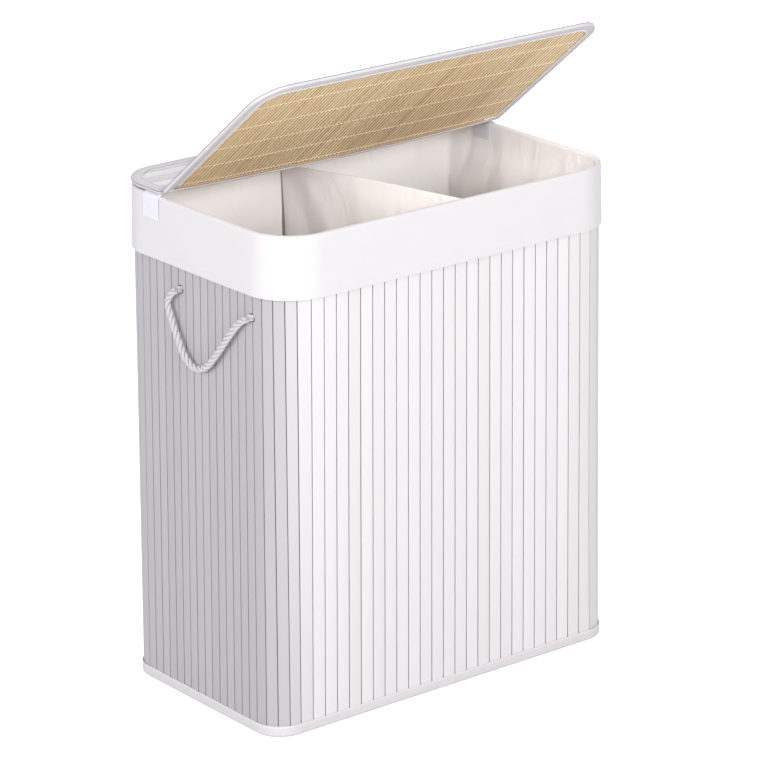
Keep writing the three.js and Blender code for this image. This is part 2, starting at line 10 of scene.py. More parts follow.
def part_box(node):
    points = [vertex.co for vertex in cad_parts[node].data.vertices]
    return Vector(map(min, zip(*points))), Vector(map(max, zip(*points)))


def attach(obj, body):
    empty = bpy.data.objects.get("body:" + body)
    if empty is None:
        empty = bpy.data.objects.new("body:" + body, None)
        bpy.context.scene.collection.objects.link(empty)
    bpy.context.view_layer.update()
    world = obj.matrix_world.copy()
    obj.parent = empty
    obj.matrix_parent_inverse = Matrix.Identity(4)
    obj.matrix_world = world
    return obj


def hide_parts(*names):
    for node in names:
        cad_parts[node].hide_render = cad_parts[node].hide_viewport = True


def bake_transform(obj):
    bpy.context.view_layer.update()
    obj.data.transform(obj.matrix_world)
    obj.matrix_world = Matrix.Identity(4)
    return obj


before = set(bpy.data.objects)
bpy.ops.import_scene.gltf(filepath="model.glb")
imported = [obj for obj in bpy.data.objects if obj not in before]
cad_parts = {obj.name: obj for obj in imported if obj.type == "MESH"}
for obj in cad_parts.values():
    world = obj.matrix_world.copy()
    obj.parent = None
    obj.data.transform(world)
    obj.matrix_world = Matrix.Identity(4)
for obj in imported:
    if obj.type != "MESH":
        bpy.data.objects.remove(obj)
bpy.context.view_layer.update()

MM = 0.001
SIDES = (("left", -1), ("right", 1))

# Body: outer face of the slats at the floor and at the rim
BODY_HEIGHT = 0.630
BOTTOM = {"length": 0.534, "depth": 0.298, "corner": 0.036}
TOP = {"length": 0.516, "depth": 0.336, "corner": 0.058}
LONG_WALL_SLATS = 26
SHORT_WALL_SLATS = 23
SLATS_LOW = 4.6 * MM
SLATS_HIGH = 0.6245
SLAT_GAP = 1.4 * MM
SLAT_EDGE = 0.45 * MM
SLAT_THICKNESS = 1.8 * MM
SLAT_CROWN = 0.03 * MM

# Offsets of the cloth layers from the slats' outer face, positive outward
WEB_MIDDLE = -2.2 * MM
WEB_THICKNESS = 0.42 * MM
LINING_MIDDLE = -3.2 * MM
LINING_THICKNESS = 0.36 * MM
CUFF_THICKNESS = 0.8 * MM
CUFF_END = 0.552
CUFF_HEM = 11 * MM
FOOT_IN = -4.0 * MM
FOOT_THICKNESS = 0.8 * MM
FOOT_HEIGHT = 14.4 * MM

# Folded strips: grid step, outer and inner face, heights of the fold and of both ends, steps of the turn
RIM_TAPE_FOLD = (3 * MM, 0.6 * MM, -3.9 * MM, 0.6288, 0.6169, 0.6169)
CUFF_FOLD = (3.2 * MM, 1.6 * MM, -5.1 * MM, 0.6296, CUFF_END, 0.600)
FOOT_FOLD = (2 * MM, 0.7 * MM, FOOT_IN, 0.4 * MM, FOOT_HEIGHT, FOOT_HEIGHT, 8)
HEM_FOLD = (2 * MM, 1.35 * MM, -1.35 * MM, 0.9 * MM, -9 * MM, -9 * MM, 8)
LOOP_TAPE_FOLD = (2 * MM, 3.3 * MM, -7.3 * MM, 0.6310, 0.6011, 0.6071)

# Bags
BAG_TOP = 0.626
BAG_FLOOR = 4.8 * MM
BAG_THICKNESS = 0.8 * MM
BAG_FACE = -6.0 * MM
BAG_SLACK = 16 * MM
BAG_BENDS = (BAG_FLOOR, 0.026, 0.545, 0.600)  # floor, foot, waist and shoulder
BAG_FOOT_INSET = 8 * MM
BAG_AROUND = 150
BAG_LEVELS = 70
SEAM_ANGLE = radians(36)
DIVIDER_SAG = 21 * MM
DIVIDER_GAP = 0.15 * MM
DIVIDER_INSET = 10 * MM
DIVIDER_COLUMNS = 70
REAR_SEAM_SHIFT = -11 * MM
FRONT_SEAM_SHIFT = 18 * MM
REAR_INSIDE = 0.163

# Hook-and-loop tapes over the rim
LOOP_TAPE_Y = 0.087
LOOP_TAPE_HALF_WIDTH = 15.5 * MM

# Lid. Heights in its panels count from the hinge line
HINGE = Vector((0, 0.068, 0.6387))
LID_HALF = 0.260
HINGE_CORNER = 6 * MM
PANEL_GAP = 0.3 * MM
LID_TAPE_WIDTH = 14 * MM
LID_CORE_INSET = 4.2 * MM
LID_SAG = 4 * MM
LID_SAG_REACH = 0.08
LID_SAG_END = 0.245
LID_SLAT_GAP = 1 * MM
LID_SLAT_TOP = -1.85 * MM
LID_SLAT_BOTTOM = -3.8 * MM
LID_SLAT_CROWN = 0.3 * MM
MAT_TOP = -4.1 * MM
MAT_BOTTOM = -5.25 * MM
MAT_STRIP_PITCH = 6.0 * MM
MAT_STRIP_GAP = 0.7 * MM
PIPING_HEIGHT = -3.5 * MM
PIPING_RADIUS = 2.2 * MM
PIPING_INSET = 0.35 * MM
HINGE_CLOTH_HALF = 14 * MM
HINGE_CLOTH_HEIGHT = -0.45 * MM

REAR = SimpleNamespace(
    label="rear", body="hamper", low=PANEL_GAP, high=0.102, low_corner=HINGE_CORNER, high_corner=0.060,
    angle=0.0, slats=5, stitch_rows=(16.5, 46, 82))
FLAP = SimpleNamespace(
    label="flap", body="lid_flap", low=-0.266, high=-PANEL_GAP, low_corner=0.040, high_corner=HINGE_CORNER,
    angle=radians(39), slats=15, stitch_rows=(-20, -64, -112, -163.5, -217))

# Stitches in mm: height over the cloth, length, gap and radius
CUFF_STITCH = (0.4, 3.2, 1.2, 0.28)
FOOT_STITCH = (0.4, 3.6, 1.4, 0.26)
HEM_STITCH = (0.3, 3, 1.2, 0.22)
TAPE_STITCH = (0.4, 2.6, 1.1, 0.22)
MAT_STITCH = (0, 4.7, 1.3, 0.48)
BINDING_STITCH = (0.3, 3, 1.3, 0.24)

# Rope handles: the left route from its rear exit to its front exit
ROPE_DIAMETER = 8.5 * MM
ROPE_PITCH = 28 * MM
ROPE_STRANDS = 3
ROPE_SIDES = 16
YARNS = 5
YARN_PITCH = 0.42 * ROPE_PITCH
ROPE_EXITS = {"rear": 0.032, "front": -0.110}
ROPE_EXIT_HEIGHT = 0.5245
ROPE_ROUTE = [
    (-0.2656, 0.032, 0.5245), (-0.2674, 0.040, 0.519), (-0.2688, 0.0465, 0.507), (-0.2696, 0.040, 0.491),
    (-0.270, 0.027, 0.4685), (-0.270, 0.014, 0.4495), (-0.270, -0.006, 0.438), (-0.270, -0.029, 0.444),
    (-0.270, -0.050, 0.464), (-0.2696, -0.069, 0.486), (-0.2686, -0.086, 0.506), (-0.267, -0.099, 0.5185),
    (-0.2656, -0.110, 0.5245),
]
HOLE_RADIUS = 5.5 * MM
HOLE_REACH = 0.02
HANDLE_AXIS = 0.2655
KNOT_SEAT = 0.2552
KNOT_RADIUS = 9 * MM
KNOT_YARN = 2.6 * MM

# Camera, fitted to the photograph's rim, cuff, foot and sides
YAW = radians(38.12)
PITCH = radians(19.14)
ROLL = radians(-0.58)
TARGET = Vector((0.08581, 0.08187, 0.315))
DISTANCE = 5.13377
FOCAL_SHARE = 4052.56 / 768
SENSOR = 36

random.seed(7)


def link(name, data):
    made = bpy.data.objects.new(name, data)
    bpy.context.scene.collection.objects.link(made)
    return made


def make_camera():
    data = bpy.data.cameras.new("camera")
    data.sensor_width = SENSOR
    data.lens = FOCAL_SHARE * SENSOR
    camera = link("camera", data)
    camera.matrix_world = Matrix.Translation(TARGET)
    for angle, axis in ((-YAW, "Z"), (pi / 2 - PITCH, "X"), (ROLL, "Z")):
        camera.matrix_world @= Matrix.Rotation(angle, 4, axis)
    camera.matrix_world @= Matrix.Translation((0, 0, DISTANCE))
    bpy.context.scene.camera = camera


make_camera()


# Colours and nodes

def srgb(*levels):
    def linear(level):
        share = level / 255
        return share / 12.92 if share <= 0.04045 else ((share + 0.055) / 1.055) ** 2.4
    return (*map(linear, levels), 1)


def add_node(tree, kind, settings=None, **inputs):
    """Inputs go by name, or by i and a number, and take a socket or a value."""
    made = tree.nodes.new("ShaderNode" + kind)
    for key, value in (settings or {}).items():
        setattr(made, key, value)
    for key, value in inputs.items():
        socket = made.inputs[int(key[1:]) if key[1:].isdigit() else key.replace("_", " ")]
        if isinstance(value, bpy.types.NodeSocket):
            tree.links.new(value, socket)
        else:
            socket.default_value = value
    return made


class Nodes:
    """Builds a material's nodes. Colours are three levels up to 255."""

    def __init__(self, name, roughness, **sockets):
        self.material = bpy.data.materials.new(name)
        self.material.use_nodes = True
        self.tree = self.material.node_tree
        self.shader = self.tree.nodes["Principled BSDF"]
        for socket, value in {"Roughness": roughness, **sockets}.items():
            self.shader.inputs[socket.replace("_", " ")].default_value = value

    def node(self, *kind, **inputs):
        return add_node(self.tree, *kind, **inputs)

    def place(self, *scale):
        """Object coordinates times one or three numbers."""
        source = self.node("TexCoord").outputs["Object"]
        return self.node("Mapping", i0=source, i3=scale * (3 // len(scale))).outputs[0]

    def noise(self, *scale, detail=2, rough=0.5, twist=0):
        place = self.place(*scale)
        made = self.node("TexNoise", i0=place, Scale=1, Detail=detail, Roughness=rough, Distortion=twist)
        return made.outputs["Fac"]

    def math(self, operation, first, second=0.0):
        return self.node("Math", {"operation": operation}, i0=first, i1=second).outputs[0]

    def spread(self, value, low, high):
        return self.node("MapRange", Value=value, To_Min=low, To_Max=high).outputs[0]

    def attribute(self, name):
        return self.node("Attribute", {"attribute_name": name}).outputs["Fac"]

    def ramp(self, value, *stops):
        made = self.node("ValToRGB", Fac=value)
        elements = made.color_ramp.elements
        while len(elements) < len(stops):
            elements.new(0.5)
        for element, (at, colour) in zip(elements, stops):
            element.position = at
            element.color = srgb(*colour)
        return made.outputs[0]

    def mix(self, share, first, second, blend="MIX"):
        first, second = (srgb(*c) if isinstance(c, tuple) else c for c in (first, second))
        settings = {"data_type": "RGBA", "blend_type": blend}
        return self.node("Mix", settings, i0=share, i6=first, i7=second).outputs[2]

    def bump(self, height, strength, distance):
        made = self.node("Bump", Height=height, Strength=strength, Distance=distance)
        last = self.shader.inputs["Normal"]
        if last.links:
            self.tree.links.new(last.links[0].from_socket, made.inputs["Normal"])
        self.tree.links.new(made.outputs[0], last)

    def total(self, first, *others):
        """The sum of values, each times its weight."""
        value = self.spread(first[0], 0, first[1])
        for other, weight in others:
            value = self.math("ADD", value, self.spread(other, 0, weight))
        return value

    def feed(self, socket, value):
        self.tree.links.new(value, self.shader.inputs[socket])

    def paint(self, *mixed):
        self.feed("Base Color", self.mix(*mixed))


def painted_wood(name, along, light, dark, shade):
    """White paint over a grain along X (0) or Z (2). Faces that the end-wall attribute marks are multiplied
    by the shade colour: painted shade that greys the short walls.
    """
    made = Nodes(name, 0.5, Specular_IOR_Level=0.4)
    stretch = [420, 420, 420]
    stretch[along] = 7
    grain = made.noise(*stretch, detail=3, rough=0.6)
    cloudy = made.noise(9)
    base = made.mix(made.attribute("tone"), dark, light)
    streaked = made.mix(made.spread(grain, 0.0, 0.32), base, dark)
    worn = made.mix(made.spread(cloudy, 0.0, 0.12), streaked, dark)
    made.paint(made.attribute("shaded"), worn, shade, "MULTIPLY")
    made.feed("Roughness", made.spread(grain, 0.42, 0.62))
    made.bump(grain, 0.35, 0.25 * MM)
    return made.material


def bamboo(name):
    """Strips whose grain runs along Y, each with its own tone. The tone is also set low on each strip's
    sides and edges: painted shade.
    """
    made = Nodes(name, 0.55, Specular_IOR_Level=0.35)
    grain = made.noise(1500, 14, 1500, detail=3, rough=0.6)
    patches = made.noise(10, 6, 10)
    tone = made.attribute("tone")
    mixed = made.total((tone, 0.66), (grain, 0.22), (patches, 0.12))
    made.feed("Base Color", made.ramp(mixed, (0, (120, 88, 56)), (0.2, (182, 146, 103)),
                                      (0.5, (239, 210, 168)), (0.75, (249, 227, 191)), (1, (254, 241, 215))))
    made.bump(grain, 0.4, 0.2 * MM)
    return made.material


def cloth(name, light, dark, thread=0.55 * MM, fuzz=0.3, sheen=0.25, creased=0, handled=None):
    """Woven cotton. A second colour, where given, multiplies painted shade into the faces that a face
    attribute marks.
    """
    made = Nodes(name, 0.9, Sheen_Weight=sheen, Sheen_Roughness=0.5, Specular_IOR_Level=0.2)
    uv = made.node("UVMap", {"uv_map": "cloth"}).outputs[0]
    split = made.node("SeparateXYZ", i0=uv)
    waves = [made.math("SINE", made.math("MULTIPLY", split.outputs[i], pi / thread)) for i in (0, 1)]
    weave = made.math("MULTIPLY", *waves)
    slubs = made.noise(60, detail=4, rough=0.65)
    soft = made.noise(14)
    shade = made.total((slubs, 0.6), (soft, 0.4))
    base = made.mix(shade, dark, light)
    if handled:
        base = made.mix(made.attribute("handled"), base, handled, "MULTIPLY")
    made.feed("Base Color", base)
    made.bump(weave, 0.35, 0.12 * MM)
    made.bump(slubs, fuzz, 0.6 * MM)
    if creased:
        made.bump(made.noise(24, 24, 13, detail=3, twist=1.6), creased, 5 * MM)
    return made.material


def felt(name, light, dark):
    made = Nodes(name, 0.95, Sheen_Weight=0.3, Sheen_Roughness=0.6, Specular_IOR_Level=0.15)
    fibres = made.noise(900, detail=5, rough=0.75)
    clumps = made.noise(130, detail=3, rough=0.6)
    made.paint(made.total((fibres, 0.5), (clumps, 0.5)), dark, light)
    made.bump(fibres, 0.5, 0.35 * MM)
    made.bump(clumps, 0.4, 0.8 * MM)
    return made.material


def cotton_strand(name, light, dark):
    """Loose yarn. Its colour follows the tone attribute, which on the rope is painted light on the outer
    side of each strand and painted shade between the strands.
    """
    made = Nodes(name, 0.92, Sheen_Weight=0.35, Sheen_Roughness=0.5, Specular_IOR_Level=0.15)
    fibres = made.noise(700, detail=4, rough=0.7)
    painted_crest_light = made.spread(made.attribute("tone"), 0.25, 1)
    made.paint(made.math("MULTIPLY", made.spread(fibres, 0.65, 1), painted_crest_light), dark, light)
    made.bump(fibres, 0.5, 0.3 * MM)
    return made.material


def hook_tape(name, light, dark):
    made = Nodes(name, 0.85, Sheen_Weight=0.4, Sheen_Roughness=0.4, Specular_IOR_Level=0.25)
    loops = made.node("TexVoronoi", i0=made.place(1), Scale=900).outputs["Distance"]
    made.paint(made.spread(made.noise(200, detail=3, rough=0.6), 0.2, 1.0), dark, light)
    made.bump(loops, 0.5, 0.4 * MM)
    return made.material


def steel(name):
    made = Nodes(name, 0.32, Metallic=1.0)
    drawn = made.noise(40, 40, 400, detail=3, rough=0.6)
    made.paint(drawn, (150, 152, 155), (190, 192, 196))
    made.feed("Roughness", made.spread(drawn, 0.25, 0.42))
    return made.material


def fibre_board(name):
    made = Nodes(name, 0.85)
    fibres = made.noise(300, detail=5, rough=0.7)
    made.paint(fibres, (176, 160, 134), (222, 212, 193))
    made.bump(fibres, 0.4, 0.3 * MM)
    return made.material


# The upright paint's last colour is painted shade, which greys the short walls.
PAINT = painted_wood("white_paint_upright", 2, (226, 224, 228), (217, 214, 215), (206, 205, 208))
LID_PAINT = painted_wood("white_paint_lengthwise", 0, (238, 236, 240), (204, 201, 203), (255, 255, 255))
BAMBOO = bamboo("bare_bamboo")
WHITE_CLOTH = cloth("white_cotton", (222, 219, 222), (217, 214, 218), sheen=0.06)
# A brighter copy of the white cotton for faces turned inward or down: painted light.
LIT_WHITE_CLOTH = cloth("white_cotton_painted_light", (248, 245, 247), (242, 239, 241), sheen=0.06)
# The cream cotton's last colour is painted shade for the right bag's right wall.
CREAM_CLOTH = cloth("cream_cotton", (253, 250, 250), (250, 247, 246), sheen=0.1, creased=0.5,
                    handled=(252, 252, 253))
# A darker cloth for the faces in the gap between the rear walls and the divider: painted shade in the
# crevice.
CREVICE_SHADE_CLOTH = cloth("crevice_painted_shade", (214, 207, 197), (200, 193, 183), sheen=0.06)
# The web is a real layer; its dark grey stands in for the shade in the gaps between the slats.
DARK_WEB_CLOTH = cloth("web_cloth_painted_shade", (118, 115, 119), (100, 97, 101))
BINDING = cloth("lid_binding", (219, 216, 220), (204, 201, 206), 0.8 * MM, 0.35, 0.1)
# A brown cloth for the binding's lowest rows by the hinge.
BROWN_HINGE_CLOTH = cloth("brown_hinge_band", (205, 172, 134), (180, 146, 110), 0.8 * MM, 0.35, 0.1)
FELT = felt("grey_felt", (220, 217, 220), (203, 200, 204))
ROPE = cotton_strand("cotton_rope", (214, 212, 217), (150, 147, 152))
THREAD = cotton_strand("sewing_thread", (246, 243, 244), (214, 210, 212))
CUFF_THREAD = cotton_strand("cuff_thread", (224, 221, 224), (204, 201, 204))
# The seam cord's dark grey is partly painted shade along the binding's outer edge.
SHADED_SEAM_CORD = cotton_strand("seam_cord_painted_shade", (158, 156, 164), (126, 124, 132))
MAT_THREAD = cotton_strand("mat_thread", (244, 230, 206), (214, 194, 162))
HOOK_TAPE = hook_tape("hook_and_loop", (229, 227, 235), (221, 219, 228))
STEEL = steel("galvanised_wire")
BOARD = fibre_board("fibre_board")


# Meshes

def clamp(value, low=0, high=1):
    return min(high, max(low, value))


def unit(vectors):
    return vectors / np.linalg.norm(vectors, axis=-1, keepdims=True)


def ripple(x, y, z, scale, seed):
    """Smooth noise from -1 to 1."""
    return noise.noise(Vector((x * scale + seed, y * scale - seed, z * scale + 2 * seed)))


def swell(*place):
    """Smooth noise from 0 to 1."""
    return 0.5 + 0.5 * ripple(*place)


def ridges(*place):
    """Noise from 0 to 1 with sharp tops."""
    return 1 - min(1, 2.4 * abs(ripple(*place)))


def lengths_along(points, axis=0):
    steps = np.linalg.norm(np.diff(points, axis=axis), axis=-1)
    start = np.zeros_like(steps.take([0], axis=axis))
    return np.concatenate([start, np.cumsum(steps, axis=axis)], axis=axis)


def sampled(values, along, stops):
    """A line's values at other stops on the way."""
    return np.stack([np.interp(stops, along, column) for column in values.T], axis=1)


def new_mesh(name, points, faces):
    mesh = bpy.data.meshes.new(name)
    mesh.from_pydata([tuple(p) for p in points], [], [tuple(int(i) for i in f) for f in faces])
    return mesh


def tell_faces(mesh, name, values):
    """One number per face, which a material reads by its name."""
    layer = mesh.attributes.new(name, "FLOAT", "FACE")
    layer.data.foreach_set("value", np.asarray(values, np.float32))


def choose_materials(piece, materials, choice):
    """More materials, and the number of the one that each face takes."""
    for material in materials:
        piece.data.materials.append(material)
    piece.data.polygons.foreach_set("material_index", [int(number) for number in choice])


def add_mesh(name, points, faces, material, body="hamper", tones=None, uvs=None, crease=40):
    """tones holds one number per face, uvs one pair per point."""
    mesh = new_mesh(name, points, faces)
    mesh.polygons.foreach_set("use_smooth", [True] * len(mesh.polygons))
    mesh.set_sharp_from_angle(angle=radians(crease))
    if tones is not None:
        tell_faces(mesh, "tone", tones)
    if uvs is not None:
        layer = mesh.uv_layers.new(name="cloth")
        corner_points = np.zeros(len(mesh.loops), np.int32)
        mesh.loops.foreach_get("vertex_index", corner_points)
        layer.uv.foreach_set("vector", np.asarray(uvs, np.float32)[corner_points].ravel())
    mesh.materials.append(material)
    mesh.validate()
    mesh.update()
    piece = link(name, mesh)
    if body:
        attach(piece, body)
    return piece


def merge_parts(parts):
    faces, tones = [], []
    first = 0
    for points, some_faces, some_tones in parts:
        faces += [tuple(first + i for i in face) for face in some_faces]
        tones += some_tones
        first += len(points)
    return np.concatenate([part[0] for part in parts]), faces, tones


def add_parts(name, parts, material, body="hamper", crease=40):
    points, faces, tones = merge_parts(parts)
    return add_mesh(name, points, faces, material, body, tones, crease=crease)


def grid_quads(rows, columns, around=False, first=0):
    """A grid's quads, row by row, closed across its columns when around."""
    quads = []
    for i in range(rows - 1):
        for j in range(columns if around else columns - 1):
            a, k = first + i * columns, (j + 1) % columns
            quads.append((a + j, a + k, a + columns + k, a + columns + j))
    return quads


def grid_normals(grid, around=False):
    across = np.gradient(grid, axis=1)
    if around:
        across = (np.roll(grid, -1, axis=1) - np.roll(grid, 1, axis=1)) / 2
    normals = np.cross(across, np.gradient(grid, axis=0))
    return normals / np.maximum(np.linalg.norm(normals, axis=2, keepdims=True), 1e-12)


def turned_to(normals, away):
    """Normals turned to the side that away points to."""
    return np.where((normals * away).sum(axis=-1, keepdims=True) > 0, normals, -normals)


def closed(line):
    return np.concatenate([line, line[:1]])


def shell_parts(grid, thickness, around=False):
    """A closed shell round a grid's surface: points, faces and cloth coordinates."""
    rows, columns = grid.shape[:2]
    shift = grid_normals(grid, around) * thickness / 2
    points = np.concatenate([(grid + shift).reshape(-1, 3), (grid - shift).reshape(-1, 3)])
    count = rows * columns
    last = count - columns
    faces = grid_quads(rows, columns, around)
    faces += [quad[::-1] for quad in grid_quads(rows, columns, around, count)]
    edges = []
    for j in range(columns if around else columns - 1):
        k = (j + 1) % columns
        edges += [(k, j), (last + j, last + k)]
    if not around:
        for a in range(0, last, columns):
            b = a + columns
            edges += [(a, b), (b + columns - 1, b - 1)]
    faces += [(a, b, count + b, count + a) for a, b in edges]
    uv = np.stack([lengths_along(grid, 1), lengths_along(grid)], axis=2).reshape(-1, 2)
    return points, faces, np.concatenate([uv, uv])


def add_shell(name, grid, thickness, material, around=False, body="hamper"):
    points, faces, uvs = shell_parts(grid, thickness, around)
    return add_mesh(name, points, faces, material, body, uvs=uvs, crease=50)


def row_of(face, columns, rows):
    """The grid row that a shell's face starts from."""
    return min(face.vertices) // columns % rows


def bar_parts(rings, tone=1.0, flip=False):
    rings = np.array(rings)
    rows, columns = rings.shape[:2]
    last = (rows - 1) * columns
    faces = [*grid_quads(rows, columns, True), range(columns)[::-1], range(last, last + columns)]
    if flip:
        faces = [face[::-1] for face in faces]
    return rings.reshape(-1, 3), faces, [tone] * len(faces)


def two_sided(low, high, side, middle):
    """A profile: one side counted inward from low, the middle, and the side mirrored at high."""
    return [(low + u, v) for u, v in side] + middle + [(high - u, v) for u, v in side[::-1]]


def carried_frames(line):
    """Tangents of a line, and two vectors square to each, carried along without twist."""
    tangents = unit(np.gradient(line, axis=0))
    side = Vector(tangents[0]).orthogonal().normalized()
    frames = []
    for tangent in map(Vector, tangents):
        side = (side - tangent * side.dot(tangent)).normalized()
        frames.append((np.array(side), np.array(tangent.cross(side))))
    return tangents, frames


def circle(angles, u, v):
    return np.outer(np.cos(angles), u) + np.outer(np.sin(angles), v)


def tube_parts(line, radius, sides, tone=1.0, ends=True):
    """A round tube, with rounded ends unless they are left off."""
    line = np.asarray(line, float)
    tangents, frames = carried_frames(line)
    radii = np.full(len(line), radius)
    if ends:
        lead, tail = line[0] - tangents[0] * radius * 0.6, line[-1] + tangents[-1] * radius * 0.6
        line = np.concatenate([[lead], line, [tail]])
        frames = [frames[0], *frames, frames[-1]]
        radii = [radius * 0.55, *radii, radius * 0.55]
    angles = np.arange(sides) * 2 * pi / sides
    return bar_parts([p + r * circle(angles, u, v) for p, r, (u, v) in zip(line, radii, frames)], tone)


def stitch_parts(line, normals, lift, size, gap, radius):
    """A row of stitches in mm: each dips into the cloth at both ends."""
    size, gap, radius = size * MM, gap * MM, radius * MM
    line = line + normals * lift * MM
    along = lengths_along(line)
    dips = np.array([-0.9, 0.25, 0.55, 0.25, -0.9])[:, None] * radius
    parts = []
    start = gap / 2
    while start + size < along[-1]:
        stops = np.linspace(start, start + size, len(dips))
        centre = sampled(line, along, stops) + sampled(normals, along, stops) * dips
        parts.append(tube_parts(centre, radius, 6, 0.9))
        start += size + gap * random.uniform(0.85, 1.15)
    return parts


# The body's wall

def outline_of(length, depth, corner):
    """A rounded rectangle: its perimeter, and its point and outward normal at a share of the way round,
    counter-clockwise from the front's middle. The last run only catches rounding."""
    long, short = length / 2 - corner, depth / 2 - corner
    centres = [(0, -short), (long, -short), (long, short), (-long, short), (-long, -short)]
    runs = []
    for turn, straight in enumerate((long, 2 * short, 2 * long, 2 * short, long)):
        runs += [(straight, True, centres[turn], turn), (pi / 2 * corner, False, centres[turn - 4], turn)]
    perimeter = sum(run[0] for run in runs[:-1])

    def at(share):
        rest = (share % 1) * perimeter
        for size, straight, centre, turn in runs:
            if rest <= size:
                break
            rest -= size
        heading = turn * pi / 2 + (0 if straight else rest / corner)
        sine, cosine = sin(heading), cos(heading)
        normal = np.array((sine, -cosine))
        along = np.array((cosine, sine)) * (rest if straight else 0)
        return centre + normal * corner + along, normal

    return perimeter, at


FLOOR_PERIMETER, floor_at = outline_of(**BOTTOM)
RIM_PERIMETER, rim_at = outline_of(**TOP)


def wall_point(share, offset, height):
    """A point at an offset from the slats' face."""
    low, low_normal = floor_at(share)
    high, high_normal = rim_at(share)
    rise = height / BODY_HEIGHT
    flat = (low + low_normal * offset) * (1 - rise) + (high + high_normal * offset) * rise
    return np.array((*flat, height))


def half_at(height, measure):
    return (BOTTOM[measure] + (TOP[measure] - BOTTOM[measure]) * height / BODY_HEIGHT) / 2


def seam_shares():
    """Seams, even along each long wall and even round each short wall."""
    long_run = BOTTOM["length"] - 2 * BOTTOM["corner"]
    short_run = FLOOR_PERIMETER / 2 - long_run
    seams = []
    start = -long_run / 2
    for run, slats in 2 * ((long_run, LONG_WALL_SLATS), (short_run, SHORT_WALL_SLATS)):
        seams += [start + run * i / slats for i in range(slats)]
        start += run
    return [(seam / FLOOR_PERIMETER) % 1 for seam in seams]


SEAMS = seam_shares()
LEAN_SHARES = (-0.25, -0.144, 0.144, 0.356, 0.75)
LEANS = (0, 4 * MM, 20 * MM, 0, 0)


def leaned(share, height):
    """The front's slats lean a little to the right, downwards."""
    place = (share + 0.25) % 1 - 0.25
    lean = np.interp(place, LEAN_SHARES, LEANS) / FLOOR_PERIMETER
    return share + lean * (1 - height / BODY_HEIGHT)


AROUND = 560


def wall_ring(profile, change=lambda share, *place: place):
    """A grid round the wall from a profile of (offset, height), which change moves."""
    shares = [i / AROUND for i in range(AROUND)]
    return np.array([[wall_point(share, *change(share, *place)) for share in shares] for place in profile])


def fold_over(step, outside, inside, edge, outer_end, inner_end, turns=10):
    """A strip over an edge: along the outside, round a half circle and back inside."""
    radius, middle = (outside - inside) / 2, (outside + inside) / 2
    up = radius if edge > outer_end else -radius
    arc = [(middle + radius * cos(angle), edge - up + up * sin(angle))
           for angle in np.linspace(0, pi, turns + 1)]
    profile = [(outside, outer_end)]
    for point in (*arc, (inside, inner_end)):
        count = max(1, round(dist(profile[-1], point) / step))
        profile += map(tuple, np.linspace(profile[-1], point, count + 1)[1:])
    return profile


def slat_parts(left, right, tone):
    """An upright slat between two seams, with rounded edges."""
    sway = random.uniform(-0.12, 0.12) * MM
    depth = random.uniform(-0.1, 0.06) * MM
    edge, crown = SLAT_EDGE, SLAT_CROWN
    side = [(0, -SLAT_THICKNESS), (0, -edge), (edge * 0.3, -edge * 0.3), (edge, 0), (2 * edge, crown / 2)]
    rings = []
    for height in np.linspace(SLATS_LOW, SLATS_HIGH, 7):
        a, b = (wall_point(leaned(share, height), 0, height) for share in (left, right))
        width = dist(a, b)
        across = (b - a) / width
        outward = unit(np.cross(across, (0, 0, 1)))
        bend = sway * sin(pi * (height - SLATS_LOW) / (SLATS_HIGH - SLATS_LOW))
        low, high = SLAT_GAP / 2 + bend, width - SLAT_GAP / 2 + bend
        profile = two_sided(low, high, side, [((low + high) / 2, crown)])
        rings.append([a + across * u + outward * (v + depth) for u, v in profile])
    return bar_parts(rings, tone)


def end_wall_shade_share(left, right):
    """How much painted shade greys a slat: 1 on a short wall, 0 on a long wall, in between round the
    corners.
    """
    _, normal = rim_at((left + right) / 2 if left < right else 0)
    return clamp((abs(normal[0]) - 0.25) / 0.65)


def cut_rope_holes(piece):
    cutters = []
    for sign in (-1, 1):
        for y in ROPE_EXITS.values():
            ends = [sign * (BOTTOM["length"] / 2 + reach) for reach in (-HOLE_REACH, HOLE_REACH)]
            line = [(x, y, ROPE_EXIT_HEIGHT) for x in ends]
            cutters.append(tube_parts(line, HOLE_RADIUS, 20, ends=False))
    points, faces, _ = merge_parts(cutters)
    cutter = link("hole_cutters", new_mesh("hole_cutters", points, faces))
    modifier = piece.modifiers.new("holes", "BOOLEAN")
    modifier.operation = "DIFFERENCE"
    modifier.solver = "EXACT"
    modifier.object = cutter
    bpy.context.view_layer.update()
    cut = bpy.data.meshes.new_from_object(piece.evaluated_get(bpy.context.evaluated_depsgraph_get()))
    piece.modifiers.clear()
    piece.data = cut
    bpy.data.objects.remove(cutter)


def add_wall():
    """The slats, the web that they are glued to and the lining."""
    parts, shaded = [], []
    for left, right in zip(SEAMS, SEAMS[1:] + SEAMS[:1]):
        parts.append(slat_parts(left, right, clamp(random.gauss(0.6, 0.22))))
        shaded.append(end_wall_shade_share(left, right))
    slats = add_parts("wall_slats", parts, PAINT, crease=35)
    # Painted shade: the short walls' slats are greyed by this share.
    tell_faces(slats.data, "shaded", np.repeat(shaded, len(parts[0][1])))
    cut_rope_holes(slats)
    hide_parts("slat_wall")
    # The web, seen only in the slat gaps, is dark grey: partly painted shade.
    layers = [("wall_web", WEB_MIDDLE, WEB_THICKNESS, DARK_WEB_CLOTH, "slat_wall", "wall_slats"),
              ("wall_lining", LINING_MIDDLE, LINING_THICKNESS, WHITE_CLOTH, "wall_backing", "wall_web")]
    for name, offset, thickness, material, node, behind in layers:
        grid = wall_ring([(offset, height) for height in np.linspace(SLATS_LOW, SLATS_HIGH, 24)])
        layer = add_shell(name, grid, thickness, material, True)
        cut_rope_holes(layer)
        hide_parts(node)


# Cuff, foot and rim tapes

